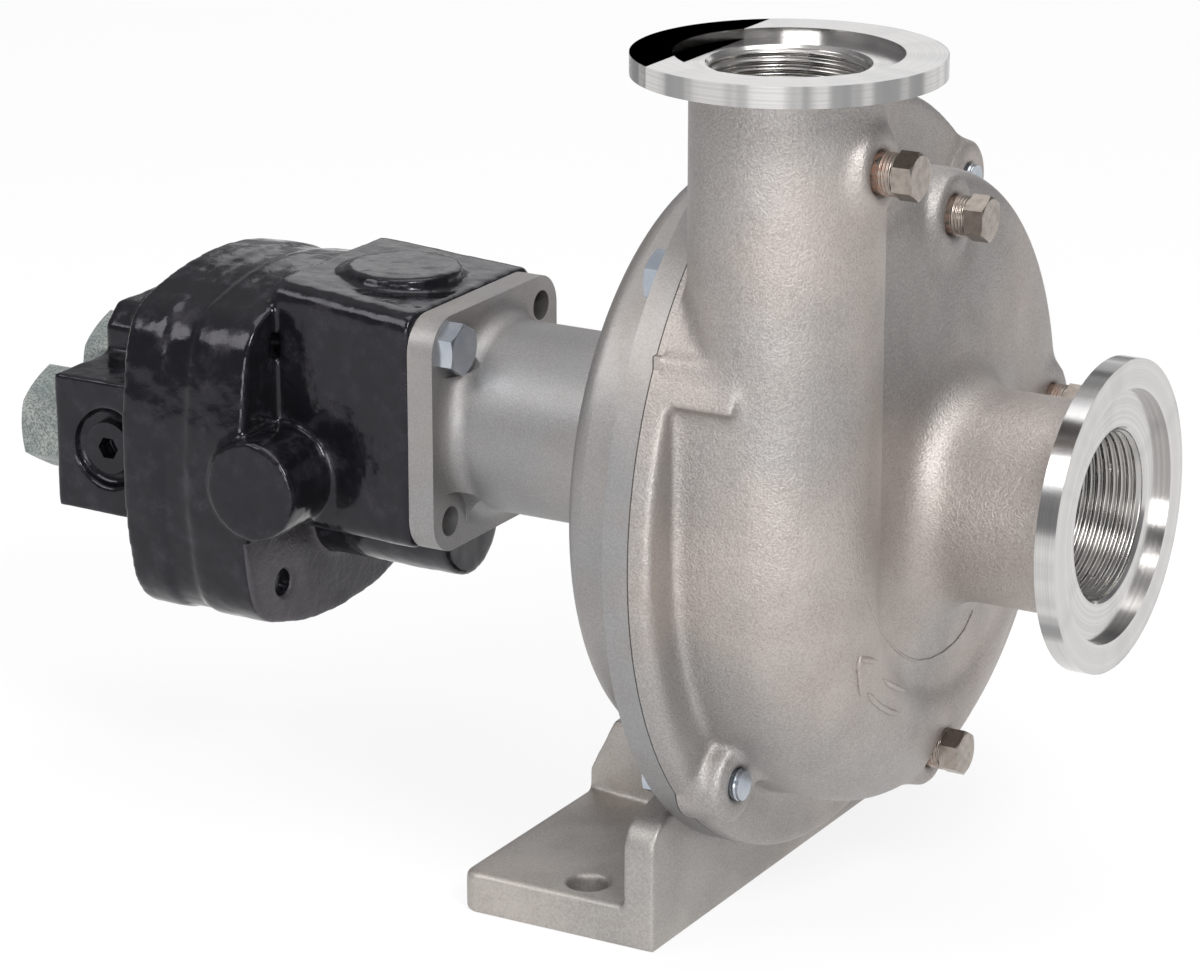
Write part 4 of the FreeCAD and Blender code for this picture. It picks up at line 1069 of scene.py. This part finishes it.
@dataclass
class Casing:
    """The volute with its flanges, threads, plugs and bolts."""

    suction_start: float = 0.0970
    suction_length: float = 0.0224
    suction_radius: float = 0.0229
    suction_pitch: float = 0.00221
    discharge_start: float = 0.2222
    discharge_length: float = 0.0204
    discharge_radius: float = 0.0201
    thread_depth: float = 0.0013
    plug_thread_radius: float = 0.00515
    plug_thread_length: float = 0.0046
    plug_pitch: float = 0.00094
    ear_angles: tuple[float, ...] = (45, 225, 315)
    bolt_circle: float = 0.095
    bolt_radius: float = 0.004
    bolt_pitch: float = 0.00125
    bolt_thread_start: float = 0.0455
    bolt_thread_length: float = 0.0023
    skin: CastSkin = field(default_factory=lambda: CastSkin(
        "cast_volute", ("volute_casing",), 0.0009, 24,
        (Half(0, 0.1171), Half(2, 0.2403), Half(0, 0.0353, False)),
        Casing.crisp_share, Casing.valley_share))
    lines: tuple[RaisedLine, ...] = (
        RaisedLine("neck_ring_line", ((868, 594), (872, 610), (878, 625), (886, 638), (897, 651), (908, 658),
                                      (918, 661), (930, 659), (942, 653), (954, 643), (964, 630), (973, 610)),
                   0.0004),
        RaisedLine("arrow_head_line", ((878, 661.5), (869, 660), (860, 659), (859, 668), (860, 682),
                                       (862, 697))),
        RaisedLine("arrow_inner_line", ((883, 679), (888, 683.5), (894, 687), (899, 689), (905, 690.5))),
        RaisedLine("arrow_outer_line", ((868, 693), (874, 701), (881, 707), (889, 711.5), (900, 714))))

    def build(self, dresser: Dresser, finishes: Finishes) -> None:
        """Dress the casing's nodes and add its threads.

        Args:
            dresser: What dresses the CAD nodes.
            finishes: The materials.
        """
        surface = self.skin.build(finishes.casing).data
        for line in self.lines:
            line.build(surface, finishes.casing)
        dresser.dress(finishes.plug, "discharge_plug", "vent_plug", "side_plug", "drain_plug")
        dresser.dress(finishes.zinc, "casing_bolts")
        dresser.dress(finishes.rubber, "casing_o_ring")
        dresser.dress(finishes.turned, "wear_ring")
        self.build_port_threads(finishes)
        self.build_plug_threads(finishes)
        self.build_bolt_threads(finishes)

    @staticmethod
    def crisp_share(points: np.ndarray) -> np.ndarray:
        """How little each point is rounded, on the cast step beside the pipe."""
        beside = np.clip((-0.0900 - points[:, 1]) / 0.004, 0.0, 0.8)
        return beside * (np.abs(points[:, 2] - 0.145) < 0.035)

    @staticmethod
    def valley_share(points: np.ndarray) -> np.ndarray:
        """How much more each point is rounded: the valley by the core, and the end of the step.

        Args:
            points: The points, one to a row.

        Returns:
            Each point's share, from 0 to 1.
        """
        x, y, z = points.T
        beside = near(y, -0.0440, 0.014)
        level = np.clip((z - 0.055) / 0.03, 0.0, 1.0) * np.clip((0.2 - z) / 0.015, 0.0, 1.0)
        step = near(y, -0.0800, 0.010, 1.2) * near(z, 0.147, 0.014, 1.3)
        return np.maximum(beside * level * (x > 0.052), step * (x > 0.040))

    def build_port_threads(self, finishes: Finishes) -> None:
        """Add the pipe threads inside the two clamp flanges.

        Args:
            finishes: The materials.
        """
        suction = Vector((self.suction_start, 0, SHAFT_HEIGHT))
        Thread("suction_thread", Axis.ALONG_SHAFT, suction, self.suction_length, self.suction_radius,
               self.suction_pitch, self.thread_depth, Winding.INSIDE, around=128).build(finishes.thread)
        discharge = Vector((PIPE_X, PIPE_Y, self.discharge_start))
        Thread("discharge_thread", Axis.UPWARD, discharge, self.discharge_length, self.discharge_radius,
               self.suction_pitch, self.thread_depth, Winding.INSIDE, around=128).build(finishes.thread)

    def build_plug_threads(self, finishes: Finishes) -> None:
        """Add the thread that shows behind each plug's head.

        Args:
            finishes: The materials.
        """
        for name in ("discharge_plug", "vent_plug", "side_plug", "drain_plug"):
            low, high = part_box(name)
            middle = (low + high) / 2
            start = Vector((high.x - 0.0053 - self.plug_thread_length, middle.y, middle.z))
            Thread(name + "_thread", Axis.ALONG_SHAFT, start, self.plug_thread_length,
                   self.plug_thread_radius, self.plug_pitch, 0.0005, Winding.OUTSIDE,
                   around=48).build(finishes.plug)

    def build_bolt_threads(self, finishes: Finishes) -> None:
        """Add the thread on the end of each bolt that stands out of an ear.

        Args:
            finishes: The materials.
        """
        for number, degrees in enumerate(self.ear_angles, 1):
            turn = math.radians(degrees)
            start = Vector((self.bolt_thread_start, self.bolt_circle * math.cos(turn),
                            SHAFT_HEIGHT + self.bolt_circle * math.sin(turn)))
            Thread(f"ear_bolt_thread_{number}", Axis.ALONG_SHAFT, start, self.bolt_thread_length,
                   self.bolt_radius, self.bolt_pitch, 0.0003, Winding.OUTSIDE, slot="zinc",
                   around=40).build(finishes.zinc)


@dataclass
class BackPlate:
    """The back plate with its barrel and square motor flange, and the foot under it."""

    foot_skin: CastSkin = field(default_factory=lambda: CastSkin(
        "cast_foot", ("foot",), 0.0008, 5))

    def build(self, dresser: Dresser, finishes: Finishes) -> None:
        """Dress the back plate, the foot and their screws.

        Args:
            dresser: What dresses the CAD nodes.
            finishes: The materials.
        """
        dresser.dress(finishes.plate, "back_plate")
        self.foot_skin.build(finishes.foot)
        dresser.dress(finishes.zinc, "foot_screws")


@dataclass
class Rotor:
    """The pump shaft with its bearing, seal and impeller."""

    def build(self, dresser: Dresser, finishes: Finishes) -> None:
        """Dress what turns and what carries it.

        Args:
            dresser: What dresses the CAD nodes.
            finishes: The materials.
        """
        dresser.dress(finishes.ground, "pump_shaft", "bearing_inner_ring", "bearing_outer_ring",
                      "bearing_balls", "impeller_key", "drive_key")
        dresser.dress(finishes.turned, "bearing_cage", "bearing_clip", "seal_holder", "seal_bellows",
                      "bellows_collar", "impeller_washer", "impeller_nut")
        dresser.dress(finishes.foot, "impeller")
        dresser.dress(finishes.rubber, "slinger", "seal_seat_gasket", "seal_sleeve")
        dresser.dress(finishes.ceramic, "seal_seat")
        dresser.dress(finishes.carbon, "seal_ring")


@dataclass
class OilMotor:
    """The black hydraulic motor with its ports, screws and gears."""

    skin: CastSkin = field(default_factory=lambda: CastSkin(
        "painted_motor", ("motor_front_housing", "motor_gear_plate", "motor_rear_cover"), 0.0008, 9,
        lump=0.00022, slot="black_paint"))

    def build(self, dresser: Dresser, finishes: Finishes) -> None:
        """Dress the motor.

        Args:
            dresser: What dresses the CAD nodes.
            finishes: The materials.
        """
        self.skin.build(finishes.paint)
        dresser.dress(finishes.paint, "motor_body_screws")
        dresser.dress(finishes.zinc, "motor_bolts")
        dresser.dress(finishes.paint, "port_plug")
        dresser.dress(finishes.speckled, "inlet_adaptor", "outlet_adaptor")
        dresser.dress(finishes.ground, "drive_gear", "idler_gear", "motor_shaft", "idler_shaft")
        dresser.dress(finishes.bronze, "drive_front_bush", "drive_rear_bush", "idler_front_bush",
                      "idler_rear_bush")
        dresser.dress(finishes.rubber, "motor_shaft_seal")


# Studio

@dataclass
class Lamp:
    """A soft rectangular lamp that looks at the pump."""

    name: str
    place: tuple[float, float, float]
    size: tuple[float, float]
    power: float
    colour: tuple[float, float, float] = (1.0, 1.0, 1.0)
    target: tuple[float, float, float] = (-0.02, 0.0, 0.12)

    def build(self) -> None:
        """Hang the lamp."""
        data = bpy.data.lights.new(self.name, "AREA")
        data.shape = "RECTANGLE"
        data.size, data.size_y = self.size
        data.energy = self.power
        data.color = self.colour
        lamp = bpy.data.objects.new(self.name, data)
        lamp.location = self.place
        aim = Vector(self.target) - Vector(self.place)
        lamp.rotation_euler = aim.to_track_quat("-Z", "Y").to_euler()
        bpy.context.scene.collection.objects.link(lamp)


@dataclass
class Studio:
    """The floor, the world, the lamps and the camera."""

    view: PhotoView = PhotoView()
    sensor: float = 36.0
    floor_size: float = 6.0
    lamps: tuple[Lamp, ...] = (
        Lamp("key", (-0.9, -1.2, 1.4), (0.9, 0.9), 12.0),
        Lamp("fill", (0.5, -1.7, 0.4), (1.1, 0.6), 13.0),
        Lamp("front", (1.1, -0.8, 1.25), (0.5, 0.5), 21.0),
        Lamp("top", (0.1, 0.2, 1.7), (1.2, 1.2), 11.0),
        Lamp("back", (-0.5, 1.6, 0.9), (1.4, 0.8), 3.0))

    def build(self) -> None:
        """Set up the studio."""
        self.build_floor()
        self.build_world()
        for lamp in self.lamps:
            lamp.build()
        self.build_camera()
        bpy.context.scene.view_settings.view_transform = "Standard"

    def build_floor(self) -> None:
        """Lay the floor, which shows white to the camera but keeps the pump's shadow."""
        half = self.floor_size / 2
        corners = [Vector((x * half, y * half, 0.0)) for x, y in ((-1, -1), (1, -1), (1, 1), (-1, 1))]
        graph = Graph(bpy.data.materials.new("studio_floor"))
        path = graph.add("ShaderNodeLightPath")
        seen = path["Is Camera Ray"] | path["Is Glossy Ray"]
        matt = graph.add("ShaderNodeBsdfDiffuse", inputs={"Color": (0.86, 0.86, 0.86, 1.0)})
        glow = graph.add("ShaderNodeEmission", inputs={"Color": (1.0, 1.0, 1.0, 1.0), "Strength": 1.0})
        shader = graph.add("ShaderNodeMixShader", inputs={0: seen * 0.86, 1: matt[0], 2: glow[0]})
        graph.add("ShaderNodeOutputMaterial", inputs={"Surface": shader["Shader"]})
        new_piece("studio_floor_plane", corners, [(0, 1, 2, 3)], graph.owner, False)

    def build_world(self) -> None:
        """Light the world evenly, white to the camera."""
        world = bpy.data.worlds.new("studio_world")
        graph = Graph(world)
        place = graph.add("ShaderNodeTexCoord")["Generated"]
        height = graph.add("ShaderNodeSeparateXYZ", inputs={0: place})["Z"]
        stops = ((0.0, (0.42, 0.42, 0.43, 1)), (0.5, (0.26, 0.26, 0.275, 1)), (1.0, (0.9, 0.9, 0.9, 1)))
        ramp = graph.add("ShaderNodeValToRGB", {"stops": stops}, {0: height})
        ambient = graph.add("ShaderNodeBackground", inputs={"Color": ramp[0], "Strength": 0.75})
        white = graph.add("ShaderNodeBackground", inputs={"Color": (1.0, 1.0, 1.0, 1.0)})
        seen = graph.add("ShaderNodeLightPath")["Is Camera Ray"]
        mixed = graph.add("ShaderNodeMixShader", inputs={0: seen, 1: ambient[0], 2: white[0]})
        graph.add("ShaderNodeOutputWorld", inputs={"Surface": mixed[0]})
        bpy.context.scene.world = world

    def build_camera(self) -> None:
        """Place the camera where the photograph was taken from."""
        data = bpy.data.cameras.new("photo_camera")
        data.sensor_fit = "HORIZONTAL"
        data.sensor_width = self.sensor
        data.lens = self.view.focal_pixels / self.view.width * self.sensor
        data.clip_start = 0.05
        camera = bpy.data.objects.new("photo_camera", data)
        camera.rotation_mode = "QUATERNION"
        camera.rotation_quaternion = self.view.back.to_track_quat("Z", "Y")
        camera.location = self.view.place
        bpy.context.scene.collection.objects.link(camera)
        bpy.context.scene.camera = camera


def main() -> None:
    """Build the studio and dress the pump."""
    logging.basicConfig(level=logging.INFO, format="%(name)s: %(message)s")
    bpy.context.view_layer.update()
    finishes = Finishes()
    dresser = Dresser(frame["nodes"])
    for assembly in (Casing(), BackPlate(), Rotor(), OilMotor()):
        assembly.build(dresser, finishes)
    Studio().build()


if __name__ == "__main__":
    main()
